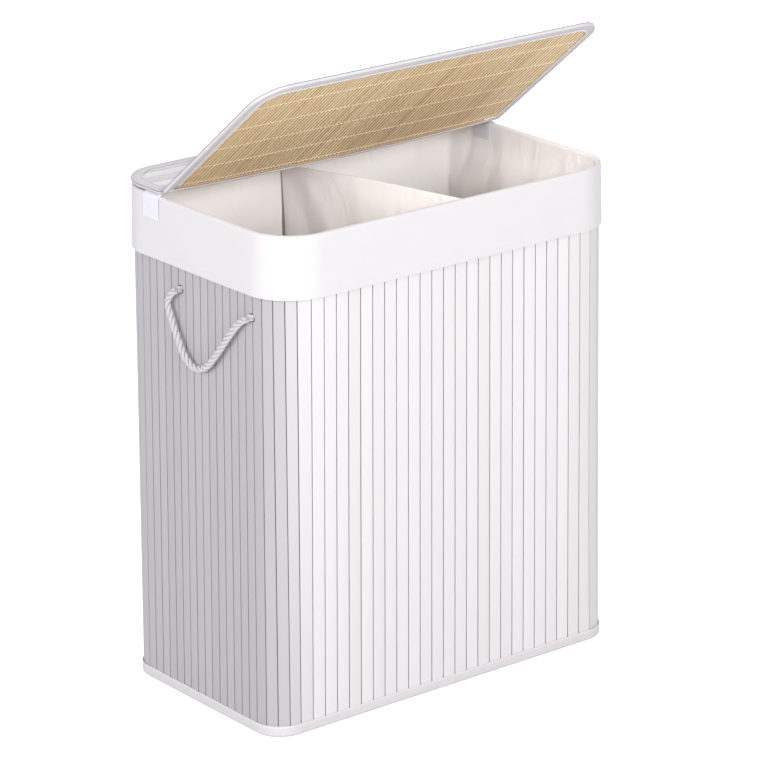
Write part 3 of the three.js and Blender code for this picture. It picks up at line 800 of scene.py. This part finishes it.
def add_ring(name, grid, thickness, material, node):
    piece = add_shell(name, grid, thickness, material, True)
    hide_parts(node)
    return piece


def outer_stitches(grid, row, stitch):
    """Stitches along a row of a ring, on its outside."""
    line = closed(grid[row])
    return stitch_parts(line, turned_to(closed(grid_normals(grid, True)[row]), line * (1, 1, 0)), *stitch)


def add_cuff():
    """The cuff, folded over the rim and hemmed at its lower edge."""
    profile = fold_over(*CUFF_FOLD)

    def change(share, offset, height):
        if offset < sum(CUFF_FOLD[1:3]) / 2:
            return offset, height
        x, y, _ = wall_point(share, 0, height)
        drop = clamp((BODY_HEIGHT - 6 * MM - height) / (BODY_HEIGHT - CUFF_END))
        wave = swell(x, y, height * 0.35, 11, 3.1) ** 1.5
        out = offset + drop * (2.2 * wave + 0.8 * swell(x, y, height * 0.8, 31, 7.7)) * MM
        out += 0.15 * MM * clamp((CUFF_END + CUFF_HEM - height) / (1.5 * MM))
        return out, height + 1.0 * MM * ripple(x, y, 0, 9, 1.7) * drop ** 2

    grid = wall_ring(profile, change)
    cuff = add_ring("liner_cuff_cloth", grid, CUFF_THICKNESS, WHITE_CLOTH, "liner_cuff")
    crown = max(range(len(profile)), key=lambda i: profile[i][1])
    inner = [row_of(face, AROUND, len(profile)) >= crown for face in cuff.data.polygons]
    # The cuff's inner side takes the brighter copy of its cotton: painted light.
    choose_materials(cuff, [LIT_WHITE_CLOTH], inner)
    row = min(range(crown), key=lambda i: abs(profile[i][1] - CUFF_END - CUFF_HEM))
    parts = outer_stitches(grid, row, CUFF_STITCH)
    thread = add_parts("cuff_hem_stitches", parts, CUFF_THREAD)


def add_rim_binding():
    grid = wall_ring(fold_over(*RIM_TAPE_FOLD))
    tape = add_ring("rim_binding", grid, 0.5 * MM, WHITE_CLOTH, "rim_tape")


def add_foot():
    """The felt tape, with an uneven upper edge and a row of stitches."""
    def change(share, offset, height):
        x, y, _ = wall_point(share, 0, height)
        rise = height / FOOT_HEIGHT
        uneven = 0.7 * MM * ripple(x, y, 0, 60, 5.3) + 0.5 * MM * ripple(x, y, 0, 17, 9.9)
        puff = 0.45 * MM * swell(x, y, height, 75, 2.2) * sin(pi * min(1, rise))
        outside = offset > sum(FOOT_FOLD[1:3]) / 2
        return offset + outside * puff, height + uneven * rise ** 2

    grid = wall_ring(fold_over(*FOOT_FOLD), change)
    tape = add_ring("foot_tape", grid, FOOT_THICKNESS, FELT, "foot_felt")
    parts = outer_stitches(grid, 1, FOOT_STITCH)
    thread = add_parts("foot_tape_stitches", parts, THREAD)


def add_base():
    """The base cloth, slack between the edges of the foot tape."""
    across = 120
    loops = []
    for scale in np.linspace(1, 0, 17):
        ring = []
        for i in range(across):
            x, y, _ = wall_point(i / across, FOOT_IN - 0.8 * MM, 0) * max(scale, 0.02)
            slack = swell(x, y, 0, 14, 4.4) * (1 - (1 - scale) ** 8) if scale < 1 else 0
            ring.append((x, y, 0.35 * MM * (1 + slack)))
        loops.append(ring)
    points, faces, _ = shell_parts(np.array(loops), 0.5 * MM, True)
    base = add_mesh("base_cloth_sheet", points, faces, WHITE_CLOTH, uvs=points[:, :2])
    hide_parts("base_cloth")


# Liner bags

def divider_top(share):
    """Height of the divider's top edge, from the front (0) to the rear (1)."""
    return BAG_TOP - DIVIDER_SAG * share - 0.8 * MM * sin(9 * share + 0.6) * share


def folds(x, y, z, drop, depth):
    """How far folds stand off the wall, less near the top. depth is 1 on the short walls."""
    wide = swell(x, y, z * 0.2, 13, 2.3)
    pleats = ridges(x, y, z * 0.16, 17, 8.1) ** 2
    slanted = ridges(x + z * 0.5, y + z * 0.5, z * 0.3, 15, 5.5) ** 3
    tiny = ripple(x, y, z * 0.6, 60, 4.9)
    fine = ridges(x - z * 0.2, y - z * 0.2, z * 0.35, 38, 1.2) ** 2
    tall = 5.0 * wide + 6.0 * pleats + 3.5 * slanted + 1.8 * fine + 0.4 * tiny
    return tall * MM * depth * (0.08 + 0.92 * min(1, drop / 0.07))


def divider_shift(y, z, drop, share):
    """Sway of the divider, whose seam lies left at the rear and right at the front.
    Bands of it slant down from the rear seam."""
    def band(start, slope, width, fade):
        from_rear = REAR_INSIDE - y
        return exp(-((from_rear - start - slope * drop) / width) ** 2) * min(1, drop / fade)

    wide = ripple(0.3, y, z * 0.4, 11, 6.4)
    pleats = ridges(0.7, y + z * 0.25, z * 0.2, 14, 3.3) ** 2 * share
    slanted = ridges(0.2, y - z * 0.7, z * 0.5, 17, 9.3) ** 3
    hem_pull = ripple(0.5, y, z * 0.4, 115, 1.8) * exp(-abs(drop) / (16 * MM))
    fine = ridges(0.9, y + z * 0.3, z * 0.4, 36, 7.1) ** 2
    sway = 2.5 * wide + 2.5 * pleats - 2.5 * slanted + 1.6 * fine + 1.4 * hem_pull
    sway += 2.6 * band(0.014, 0.37, 0.013, 0.015) - 3.6 * band(0.036, 0.64, 0.016, 0.02)
    sway -= 1.2 * band(0.125, 1.1, 0.012, 0.02)
    ends = min(1, share / 0.06, (1 - share) / 0.05)
    lean = REAR_SEAM_SHIFT * share ** 3 + FRONT_SEAM_SHIFT * (1 - share)
    return lean + ends * sway * MM * min(1, 0.2 + drop / 0.09)


def crevice_width(drop):
    """The gap between a bag's rear wall and the divider opens downwards."""
    return 1.1 * MM + 3.35 * MM * clamp((drop - 0.02) / 0.08)


def crevice(side, edge, divider_x, divider_z, drop):
    """Into the gap and out again, from the rear wall's edge to the divider."""
    _, y, z = edge
    width = side * crevice_width(drop)
    depth = 0.7 * MM + 3.7 * MM * min(1, drop / 0.08)
    return [(divider_x + width, y, z), (divider_x + 0.8 * width, y + depth, (z + divider_z) / 2),
            (divider_x + side * 0.2 * MM, y + depth, divider_z)]


def corner_inset(normal, radius):
    """The square corner inside the wall's round one: two flat runs that meet in a crease."""
    angle = atan2(abs(normal[1]), abs(normal[0]))
    low, high = (0, SEAM_ANGLE) if angle < SEAM_ANGLE else (SEAM_ANGLE, pi / 2)
    return radius * (1 - cos((high - low) / 2) / cos(angle - (low + high) / 2))


def beside_tape(y, drop):
    """0 where a loop tape holds a bag flat, 1 away from it."""
    aside = (abs(y - LOOP_TAPE_Y) - LOOP_TAPE_HALF_WIDTH - 3 * MM) / (12 * MM)
    below = (drop - 24 * MM) / (18 * MM)
    return clamp(max(aside, below))


def bag_wall_point(share, height):
    """A bag's wall, slack and creased where it isn't held."""
    drop = BAG_TOP - height
    x, y, _ = wall_point(share, 0, height)
    _, normal = rim_at(share)
    on_rear, on_front = max(0, normal[1]), max(0, -normal[1])
    slack = 1 - 0.8 * on_rear - 0.25 * on_front
    inset = corner_inset(normal, TOP["corner"] + BAG_FACE) * min(1, drop / 0.035)
    lift = folds(x, y, height, drop, 1 - 0.8 * on_rear - 0.4 * on_front)
    lift *= min(1, abs(x) / 0.025) * beside_tape(y, drop)
    loose = BAG_FACE - BAG_SLACK * slack
    offset = np.interp(height, BAG_BENDS, (loose - BAG_FOOT_INSET, loose, loose, BAG_FACE))
    point = wall_point(share, offset - inset - max(0, lift), height)
    near = max(0, 1 - abs(x) / 0.08) ** 2
    if normal[1] > 0.5:
        aside = copysign(crevice_width(drop), x) * max(0, 1 - abs(x) / 0.03)
        point[0] += REAR_SEAM_SHIFT * near + aside
    elif normal[1] < -0.5:
        point[0] += FRONT_SEAM_SHIFT * near
    return point


def bag_grid(sign):
    """Loops of one bag from its top edge to its floor, closed across the columns."""
    inner = sign * (DIVIDER_GAP + BAG_THICKNESS / 2)
    half = 0 if sign > 0 else 0.5
    rows = []
    for level in np.linspace(0, 1, BAG_LEVELS):
        def down_from(top):
            return top + (BAG_FLOOR - top) * level

        height = down_from(BAG_TOP)
        row = [bag_wall_point(half + 0.5 * (k + 0.5) / BAG_AROUND, height) for k in range(BAG_AROUND)]
        last, first = row[0], row[-1]
        gap = crevice(sign, first if sign > 0 else last, inner + REAR_SEAM_SHIFT, down_from(divider_top(1)),
                      BAG_TOP - height)
        if sign > 0:
            row += gap
        for k in range(DIVIDER_COLUMNS):
            y = first[1] + (last[1] - first[1]) * (k + 0.5) / DIVIDER_COLUMNS
            share = 0.5 + y / abs(first[1] - last[1])
            top = divider_top(share)
            z = down_from(top)
            row.append((inner + divider_shift(y, z, top - z, share), y, z))
        if sign < 0:
            row += gap[::-1]
        rows.append(row)
    foot = np.array(rows[-1])
    for k in range(1, 9):
        share = min(k / 8, 0.997)
        ring = foot * (1 - share) + foot.mean(axis=0) * share
        ring[:, 2] = [BAG_FLOOR + (0.5 + 1.6 * swell(x, y, 0, 21, 6.6)) * MM for x, y, _ in ring]
        rows.append(ring)
    return np.array(rows)


def add_bags():
    for label, sign in SIDES:
        grid = bag_grid(sign)
        rows, columns = grid.shape[:2]
        bag = add_shell(f"{label}_bag_cloth", grid, BAG_THICKNESS, CREAM_CLOTH, True)
        start = BAG_AROUND if sign > 0 else columns - 4
        in_gap = {(row + side * rows) * columns + start + k for row in range(BAG_LEVELS)
                  for side in (0, 1) for k in range(4)}
        faces = bag.data.polygons
        # The faces in that gap take the darker cloth: painted shade.
        choose_materials(bag, [CREVICE_SHADE_CLOTH], [in_gap.issuperset(face.vertices) for face in faces])
        # Painted shade: the right bag's faces near its right wall are greyed.
        tell_faces(bag.data, "handled", [clamp((face.center.x - 0.2) / 0.04) for face in faces])
        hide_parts(f"{label}_bag")


def add_divider_hem():
    profile = fold_over(*HEM_FOLD)
    depth = half_at(BAG_TOP, "depth") - DIVIDER_INSET

    def hem_point(share, across, up):
        y = depth * (2 * share - 1)
        top = divider_top(share)
        wavy = 1 + 0.25 * ripple(0, y, up, 90, 1.1)
        return divider_shift(y, top, 0, share) + across * wavy, y, top + up

    shares = np.linspace(0, 1, 120)
    grid = np.array([[hem_point(share, *place) for share in shares] for place in profile])
    hem = add_shell("divider_top_hem", grid, 0.6 * MM, CREAM_CLOTH)
    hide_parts("divider_hem")
    normals = grid_normals(grid)
    parts = []
    for row, side in ((1, 1), (len(grid) - 2, -1)):
        parts += stitch_parts(grid[row], turned_to(normals[row], (side, 0, 0)), *HEM_STITCH)
    thread = add_parts("divider_hem_stitches", parts, THREAD)


def add_loop_tapes():
    profile = fold_over(*LOOP_TAPE_FOLD)
    sides = np.linspace(-1, 1, 17)
    for label, sign in SIDES:
        rows = []
        for offset, height in profile:
            bulge = 0.3 * MM if offset > 0 else 0
            rows.append([(sign * (half_at(height, "length") + offset + bulge * (1 - side ** 2)),
                          LOOP_TAPE_Y + LOOP_TAPE_HALF_WIDTH * side, height) for side in sides])
        grid = np.array(rows)
        tape = add_shell(f"{label}_loop_tape_cloth", grid, 0.8 * MM, HOOK_TAPE)
        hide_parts(f"{label}_loop_tape")
        out = turned_to(grid_normals(grid), grid - (sign * 0.256, LOOP_TAPE_Y, 0.62))
        parts = []
        for place in (np.s_[:, 1], np.s_[:, -2], 1, -2):
            parts += stitch_parts(grid[place], out[place], *TAPE_STITCH)
        thread = add_parts(f"{label}_loop_tape_stitches", parts, THREAD)


# Lid

def place_panel(panel, points):
    """From the panel's own frame, whose origin is on the hinge, to where it lies. Both panels sag a
    little along the hinge between their ends."""
    c, s = cos(panel.angle), -sin(panel.angle)
    x, y, z = np.moveaxis(np.asarray(points, float), -1, 0)
    between = np.clip((LID_SAG_END - abs(x)) / (30 * MM), 0, 1)
    z = z - LID_SAG * (1 - (x / LID_HALF) ** 2) * between * np.exp(-(y / LID_SAG_REACH) ** 2)
    return np.stack([x + HINGE.x, y * c - z * s + HINGE.y, y * s + z * c + HINGE.z], axis=-1)


def panel_outline(panel, inset):
    """The outline at an inset, as evenly spaced points."""
    low, high = panel.low + inset, panel.high - inset
    half = LID_HALF - inset
    line = []
    for x, y, corner, turn in ((1, low, panel.low_corner, -1), (1, high, panel.high_corner, 0),
                               (-1, high, panel.high_corner, 1), (-1, low, panel.low_corner, 2)):
        radius = max(corner - inset, 0.5 * MM)
        centre = (x * (half - radius), y + radius if y == low else y - radius)
        for angle in np.linspace(turn, turn + 1, 25) * pi / 2:
            line.append((centre[0] + radius * cos(angle), centre[1] + radius * sin(angle)))
    line = closed(np.array(line))
    along = lengths_along(line)
    count = 2 * round((2 * LID_HALF + panel.high - panel.low) / (3 * MM))
    return sampled(line, along, np.linspace(0, along[-1], count + 1)[:-1])


def corner_cut(radius, depth):
    """What a round corner takes off at a depth inside it."""
    return radius - sqrt(max(radius ** 2 - (radius - depth) ** 2, 0)) if depth < radius else 0


def panel_reach(panel, inset, y):
    """How far the panel reaches to each side at a y."""
    return LID_HALF - inset - max(0, corner_cut(panel.low_corner - inset, y - panel.low - inset),
                                  corner_cut(panel.high_corner - inset, panel.high - inset - y))


def panel_span(panel, inset, x):
    """The lowest and highest y at an x."""
    depth = LID_HALF - inset - x
    return (panel.low + inset + corner_cut(panel.low_corner - inset, depth),
            panel.high - inset - corner_cut(panel.high_corner - inset, depth))


def lid_slat_parts(panel, low, high, tone):
    """A lengthwise slat, its ends cut to the panel's outline."""
    top, edge = LID_SLAT_TOP, SLAT_EDGE
    side = [(0, LID_SLAT_BOTTOM), (0, top - edge), (edge * 0.3, top - edge * 0.3), (edge, top)]
    middle = [(low + (high - low) * share, top + LID_SLAT_CROWN) for share in (0.35, 0.65)]
    profile = two_sided(low, high, side, middle)
    inside = [panel_reach(panel, LID_CORE_INSET, y) for y, _ in profile]
    ends = np.interp([y for y, _ in profile], (low, high), (inside[0], inside[-1]))
    rings = []
    for share in np.linspace(-1, 1, 15):
        reaches = inside if abs(share) < 1 else ends
        rings.append([(share * reach, y, z) for reach, (y, z) in zip(reaches, profile)])
    return bar_parts(place_panel(panel, rings), tone, True)


def add_panel_slats(panel):
    low = panel.low + LID_CORE_INSET
    pitch = (panel.high - LID_CORE_INSET - low + LID_SLAT_GAP) / panel.slats
    parts = []
    for i in range(panel.slats):
        tone = clamp(random.gauss(0.35 + 0.45 * (i % 2), 0.12))
        start = low + pitch * i
        parts.append(lid_slat_parts(panel, start, start + pitch - LID_SLAT_GAP, tone))
    slats = add_parts(f"{panel.label}_panel_slats", parts, LID_PAINT, panel.body, 35)
    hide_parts(*[f"{panel.label}_slat_{i + 1}" for i in range(panel.slats)])


def add_panel_mat(panel):
    """Bamboo strips across the panel's underside, round below, and rows of stitches."""
    half = LID_HALF - LID_CORE_INSET
    count = round(2 * half / MAT_STRIP_PITCH)
    pitch = 2 * half / count
    parts = []
    drift = 0.0
    for i in range(count):
        left = -half + pitch * i + MAT_STRIP_GAP / 2
        right = left + pitch - MAT_STRIP_GAP
        low, high = panel_span(panel, LID_CORE_INSET, max(abs(left), abs(right)))
        drift = 0.6 * drift + random.gauss(0, 0.04)
        tone = clamp(0.62 + drift + random.gauss(0, 0.09), 0.15)
        bottom = MAT_BOTTOM + random.uniform(0, 0.18) * MM
        sway = random.gauss(0, 0.12) * MM
        side = [(0, MAT_TOP), (0, bottom + 0.75 * MM), (0.5 * MM, bottom + 0.3 * MM),
                (1.3 * MM, bottom + 0.05 * MM)]
        profile = two_sided(left, right, side, [((left + right) / 2, bottom)])
        rings = [[(x + sway * sin(pi * share), low + (high - low) * share, z) for x, z in profile]
                 for share in np.linspace(0, 1, 5)]
        points, faces, _ = bar_parts(place_panel(panel, rings), flip=True)
        # Painted shade: each strip's sides take nearly the darkest tone, and its rounded edges are darker
        # than its middle.
        tones = [0.05, *(tone * share for share in (0.45, 0.85, 1, 1, 0.85, 0.45)), 0.05, 0.05]
        parts.append((points, faces, tones * 4 + [0.05] * 2))
    mat = add_parts(f"{panel.label}_bamboo_mat", parts, BAMBOO, panel.body, 50)
    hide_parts(f"{panel.label}_mat")

    parts = []
    for distance in panel.stitch_rows:
        y = distance * MM
        reach = min(panel_reach(panel, LID_TAPE_WIDTH - 1 * MM, y), LID_HALF - LID_TAPE_WIDTH)
        line = np.array([(x, y + 0.35 * MM * ripple(x, y, 0, 40, 2.9), MAT_BOTTOM + 0.05 * MM)
                         for x in np.linspace(-reach, reach, 200)])
        placed = place_panel(panel, line)
        parts += stitch_parts(placed, place_panel(panel, line - (0, 0, 1)) - placed, *MAT_STITCH)
    add_parts(f"{panel.label}_mat_stitches", parts, MAT_THREAD, panel.body)


# Edge tape in mm: inset, height and height by the hinge, under the panel and over it
TAPE_UNDER = [(14, -5.5, -5.5), (13.5, -6.1, -5.7), (12.4, -6.2, -5.75), (11.4, -5.75, -5.75),
              (9.4, -5.85, -5.8), (7.6, -5.95, -6.2), (6.4, -5.6, -6.25), (5.4, -5.75, -5.7)]
TAPE_OVER = [(5.4, -1.45, -1.45), (7.4, -1.3, -1.3), (9.2, -1.25, -1.25), (14, -1.35, -1.35)]
TAPE_ARC = 19


def hoop_parts(panel, inset, height, radius):
    """A tube that follows the panel's outline and sags with it."""
    placed = place_panel(panel, [(x, y, height) for x, y in panel_outline(panel, inset)])
    return [tube_parts(np.concatenate([placed, placed[:2]]), radius, 8, ends=False)]


def add_edge_tape(panel):
    """The binding round a panel: piped over the edge wire, flat inside it."""
    arc = []
    for angle in np.linspace(radians(-128), radians(128), TAPE_ARC):
        height = PIPING_HEIGHT + PIPING_RADIUS * sin(angle)
        arc.append((PIPING_INSET + PIPING_RADIUS * (1 - cos(angle)), height, height))
    profile = np.concatenate([np.array(TAPE_UNDER) * MM, arc, np.array(TAPE_OVER) * MM])
    lines = [panel_outline(panel, inset) for inset, _, _ in profile]
    near = min(panel.low, panel.high, key=abs)
    by_hinge = [abs(y - near) < 0.5 * MM for _, y in lines[len(TAPE_UNDER) + TAPE_ARC // 2]]
    rows = []
    for (inset, z, hinge_z), line in zip(profile, lines):
        size, *look = (0.11 * MM, 55, 3.7) if inset > 5 * MM else (0.06 * MM, 70, 1.9)
        size *= -1 if z < PIPING_HEIGHT else 1
        rows.append([(x, y, (hinge_z if hinged else z) + size * ripple(x, y, z, *look))
                     for (x, y), hinged in zip(line, by_hinge)])
    placed = place_panel(panel, rows)
    label, body = panel.label, panel.body
    tape = add_shell(f"{label}_edge_binding", placed, 0.6 * MM, BINDING, True, body)
    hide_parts(f"{label}_edge_tape")
    # By the hinge, the binding's lowest rows are brown.
    choice = []
    for face in tape.data.polygons:
        row = row_of(face, len(by_hinge), len(profile))
        if by_hinge[face.vertices[0] % len(by_hinge)]:
            choice.append(2 if row < 4 else row < 7)
        else:
            choice.append(row < 3)
    # Rows under the panel take the brighter copy of the white cotton: painted light.
    choose_materials(tape, [LIT_WHITE_CLOTH, BROWN_HINGE_CLOTH], choice)
    normals = grid_normals(placed, True)
    upward, origin = place_panel(panel, [(0, 0, 1), (0, 0, 0)])
    parts = []
    for row, side in ((1, -1), (-2, 1)):
        out = turned_to(normals[row], (upward - origin) * side)
        parts += stitch_parts(closed(placed[row]), closed(out), *BINDING_STITCH)
    thread = add_parts(f"{label}_binding_stitches", parts, THREAD, body)
    # A dark seam cord along the piping's edge: partly painted shade for the shaded edge line.
    seam = hoop_parts(panel, 0.45 * MM, PIPING_HEIGHT + 1.5 * MM, 0.75 * MM)
    add_parts(f"{label}_edge_seam", seam, SHADED_SEAM_CORD, body)


def add_edge_wire(panel):
    parts = hoop_parts(panel, 2.4 * MM, PIPING_HEIGHT, 1.4 * MM)
    wire = add_parts(f"{panel.label}_edge_wire", parts, STEEL, panel.body)
    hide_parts(f"{panel.label}_wire")


def add_hinge_cloth():
    """One strip over the joint of the panels, bent at the joint to the flap's angle."""
    half_width, top = HINGE_CLOTH_HALF, HINGE_CLOTH_HEIGHT
    reach = LID_HALF - HINGE_CORNER
    rows = []
    for y in np.linspace(-half_width, half_width, 21):
        line = [(x, y, top + 0.12 * MM * ripple(x, y, 0, 80, 6.1)) for x in np.linspace(-reach, reach, 130)]
        rows.append(place_panel(FLAP if y < -1e-9 else REAR, line))
    grid = np.array(rows)
    bent = grid[:, :, 1:]
    for _ in range(3):
        bent[1:-1] = (bent[:-2] + 2 * bent[1:-1] + bent[2:]) / 4
    strip = add_shell("hinge_strip", grid, 0.6 * MM, BINDING, body=None)
    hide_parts("rear_hinge_cloth", "flap_hinge_cloth")
    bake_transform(strip)


# Rope handles

def spline(points, step):
    """Points about step apart on a smooth curve through the given ones."""
    points = np.array(points)
    padded = [2 * points[0] - points[1], *points, 2 * points[-1] - points[-2]]
    fine = []
    for a, b, c, d in zip(padded, padded[1:], padded[2:], padded[3:]):
        for t in np.linspace(0, 1, 24, endpoint=False):
            fine.append(0.5 * (2 * b + (c - a) * t + (2 * a - 5 * b + 4 * c - d) * t ** 2
                               + (3 * b - a - 3 * c + d) * t ** 3))
    fine = np.array([*fine, points[-1]])
    along = lengths_along(fine)
    return sampled(fine, along, np.linspace(0, along[-1], max(4, round(along[-1] / step) + 1)))


def rope_parts(line, hand):
    """Strands that wind round each other, each of twisted yarns."""
    _, frames = carried_frames(line)
    turns = hand * 2 * pi * lengths_along(line)
    strand_radius = ROPE_DIAMETER / 4
    angles = np.arange(ROPE_SIDES) * 2 * pi / ROPE_SIDES
    # Painted light and shade: each strand is brighter on its outer side and darker where it meets the
    # others.
    tones = list(0.5 + 0.5 * np.cos(angles + pi / ROPE_SIDES)) * (len(line) - 1) + [0.3, 0.3]
    parts = []
    for strand in range(ROPE_STRANDS):
        centres = []
        for p, turned, (u, v) in zip(line, turns, frames):
            angle = turned / ROPE_PITCH + 2 * pi * strand / ROPE_STRANDS
            centres.append(p + strand_radius * circle(angle, u, v)[0])
        directions = unit(np.gradient(centres, axis=0))
        rings = []
        for p, centre, turned, direction in zip(line, centres, turns, directions):
            out = centre - p
            out = unit(out - direction * out.dot(direction))
            side = np.cross(direction, out)
            radii = strand_radius * (1 + 0.07 * np.cos(YARNS * angles + turned / YARN_PITCH))
            rings.append(centre + radii[:, None] * circle(angles, out, side))
        points, faces, _ = bar_parts(rings)
        parts.append((points, faces, tones))
    return parts


def add_handle(label, sign):
    route = [(-sign * x, y, z) for x, y, z in ROPE_ROUTE]
    line = spline(route, 0.9 * MM)
    rope = add_parts(f"{label}_rope", rope_parts(line, -sign), ROPE, f"{label}_handle", 70)
    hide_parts(f"{label}_handle_rope")
    round(float(lengths_along(line)[-1]), 3)


def add_knot(label, end, sign):
    """A knot behind the wall and the rope's short end through its hole."""
    y = ROPE_EXITS[end]
    low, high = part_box(f"{label}_{end}_knot")
    inner = min(abs(low.x), abs(high.x))
    reach = np.linspace(KNOT_SEAT - 4 * MM, HANDLE_AXIS - 1.2 * MM, 22)
    parts = rope_parts(np.array([(sign * x, y, ROPE_EXIT_HEIGHT) for x in reach]), -sign)
    radius = KNOT_RADIUS - KNOT_YARN
    depth = (KNOT_SEAT - inner) / 2 - KNOT_YARN
    middle = (KNOT_SEAT + inner) / 2
    line = []
    for t in np.linspace(0, 2 * pi, 150, endpoint=False):
        line.append((sign * (middle - sin(3 * t) * depth),
                     y + (sin(t) + 2 * sin(2 * t)) / 3 * radius,
                     ROPE_EXIT_HEIGHT + (cos(t) - 2 * cos(2 * t)) / 3 * radius))
    parts.append(tube_parts(line + line[:2], KNOT_YARN, 12, 0.8))
    piece = add_parts(f"{label}_{end}_rope_knot", parts, ROPE, crease=70)
    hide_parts(f"{label}_{end}_knot")


for handle, side_sign in SIDES:
    add_handle(handle, side_sign)
    for exit_name in ROPE_EXITS:
        add_knot(handle, exit_name, side_sign)

add_wall()
add_rim_binding()
add_cuff()
add_foot()
add_base()
add_bags()
add_divider_hem()
add_loop_tapes()
for lid_panel in (REAR, FLAP):
    add_panel_slats(lid_panel)
    add_panel_mat(lid_panel)
    add_edge_tape(lid_panel)
    add_edge_wire(lid_panel)
add_hinge_cloth()

NODE_MATERIALS = {
    "rim_hoop": STEEL, "foot_hoop": STEEL, "base_board": BOARD,
    "left_hook_patch": HOOK_TAPE, "right_hook_patch": HOOK_TAPE,
}
for node_name, node_material in NODE_MATERIALS.items():
    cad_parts[node_name].data.materials.clear()
    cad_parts[node_name].data.materials.append(node_material)


# Light, floor and background

def add_lamp(name, place, aim, size, power):
    data = bpy.data.lights.new(name, "AREA")
    data.shape = "RECTANGLE"
    data.size, data.size_y = size
    data.energy = power
    lamp = link(name, data)
    lamp.location = place
    lamp.rotation_euler = (Vector(aim) - Vector(place)).to_track_quat("-Z", "Y").to_euler()
    lamp.visible_camera = False


def light_path_share(tree):
    """1 for camera, glossy and transmission rays, 0 for the rest."""
    path = add_node(tree, "LightPath")
    total = path.outputs["Is Camera Ray"]
    for name in ("Is Glossy Ray", "Is Transmission Ray"):
        settings = {"operation": "ADD", "use_clamp": True}
        total = add_node(tree, "Math", settings, i0=total, i1=path.outputs[name]).outputs[0]
    return total


def set_world(level):
    world = bpy.data.worlds.new("studio")
    bpy.context.scene.world = world
    world.use_nodes = True
    tree = world.node_tree
    background = tree.nodes["Background"]
    strength = add_node(tree, "MapRange", Value=light_path_share(tree), To_Min=level, To_Max=1.0)
    tree.links.new(strength.outputs[0], background.inputs["Strength"])
    background.inputs["Color"].default_value = (1, 1, 1, 1)


def add_floor():
    half = 14
    corners = [(-half, -half, 0), (half, -half, 0), (half, half, 0), (-half, half, 0)]
    floor = link("floor", new_mesh("floor", corners, [(0, 1, 2, 3)]))
    material = bpy.data.materials.new("pale_floor")
    material.use_nodes = True
    tree = material.node_tree
    tree.nodes.clear()
    diffuse = add_node(tree, "BsdfDiffuse", Color=(0.55, 0.55, 0.55, 1))
    strength = add_node(tree, "Math", {"operation": "MULTIPLY"}, i0=light_path_share(tree), i1=0.8)
    glow = add_node(tree, "Emission", Strength=strength.outputs[0])
    both = add_node(tree, "AddShader", i0=diffuse.outputs[0], i1=glow.outputs[0])
    add_node(tree, "OutputMaterial", Surface=both.outputs[0])
    floor.data.materials.append(material)


add_lamp("key", (-0.7, -3.35, 2.0), (0, 0, 0.55), (1.8, 0.9), 54)
add_lamp("front", (1.0, -3.3, 1.62), (0, 0, 0.6), (3.0, 0.7), 37)
add_lamp("left", (-3.6, -1.0, 1.7), (0, 0, 0.5), (2.2, 1.4), 96)
add_lamp("top", (0.3, 1.2, 3.4), (0, 0.1, 0.6), (2.6, 2.0), 31)
add_lamp("right_rear", (3.3, 2.5, 0.95), (0, 0, 0.4), (2.4, 1.2), 66)
set_world(0.42)
add_floor()
bpy.context.scene.view_settings.view_transform = "Standard"
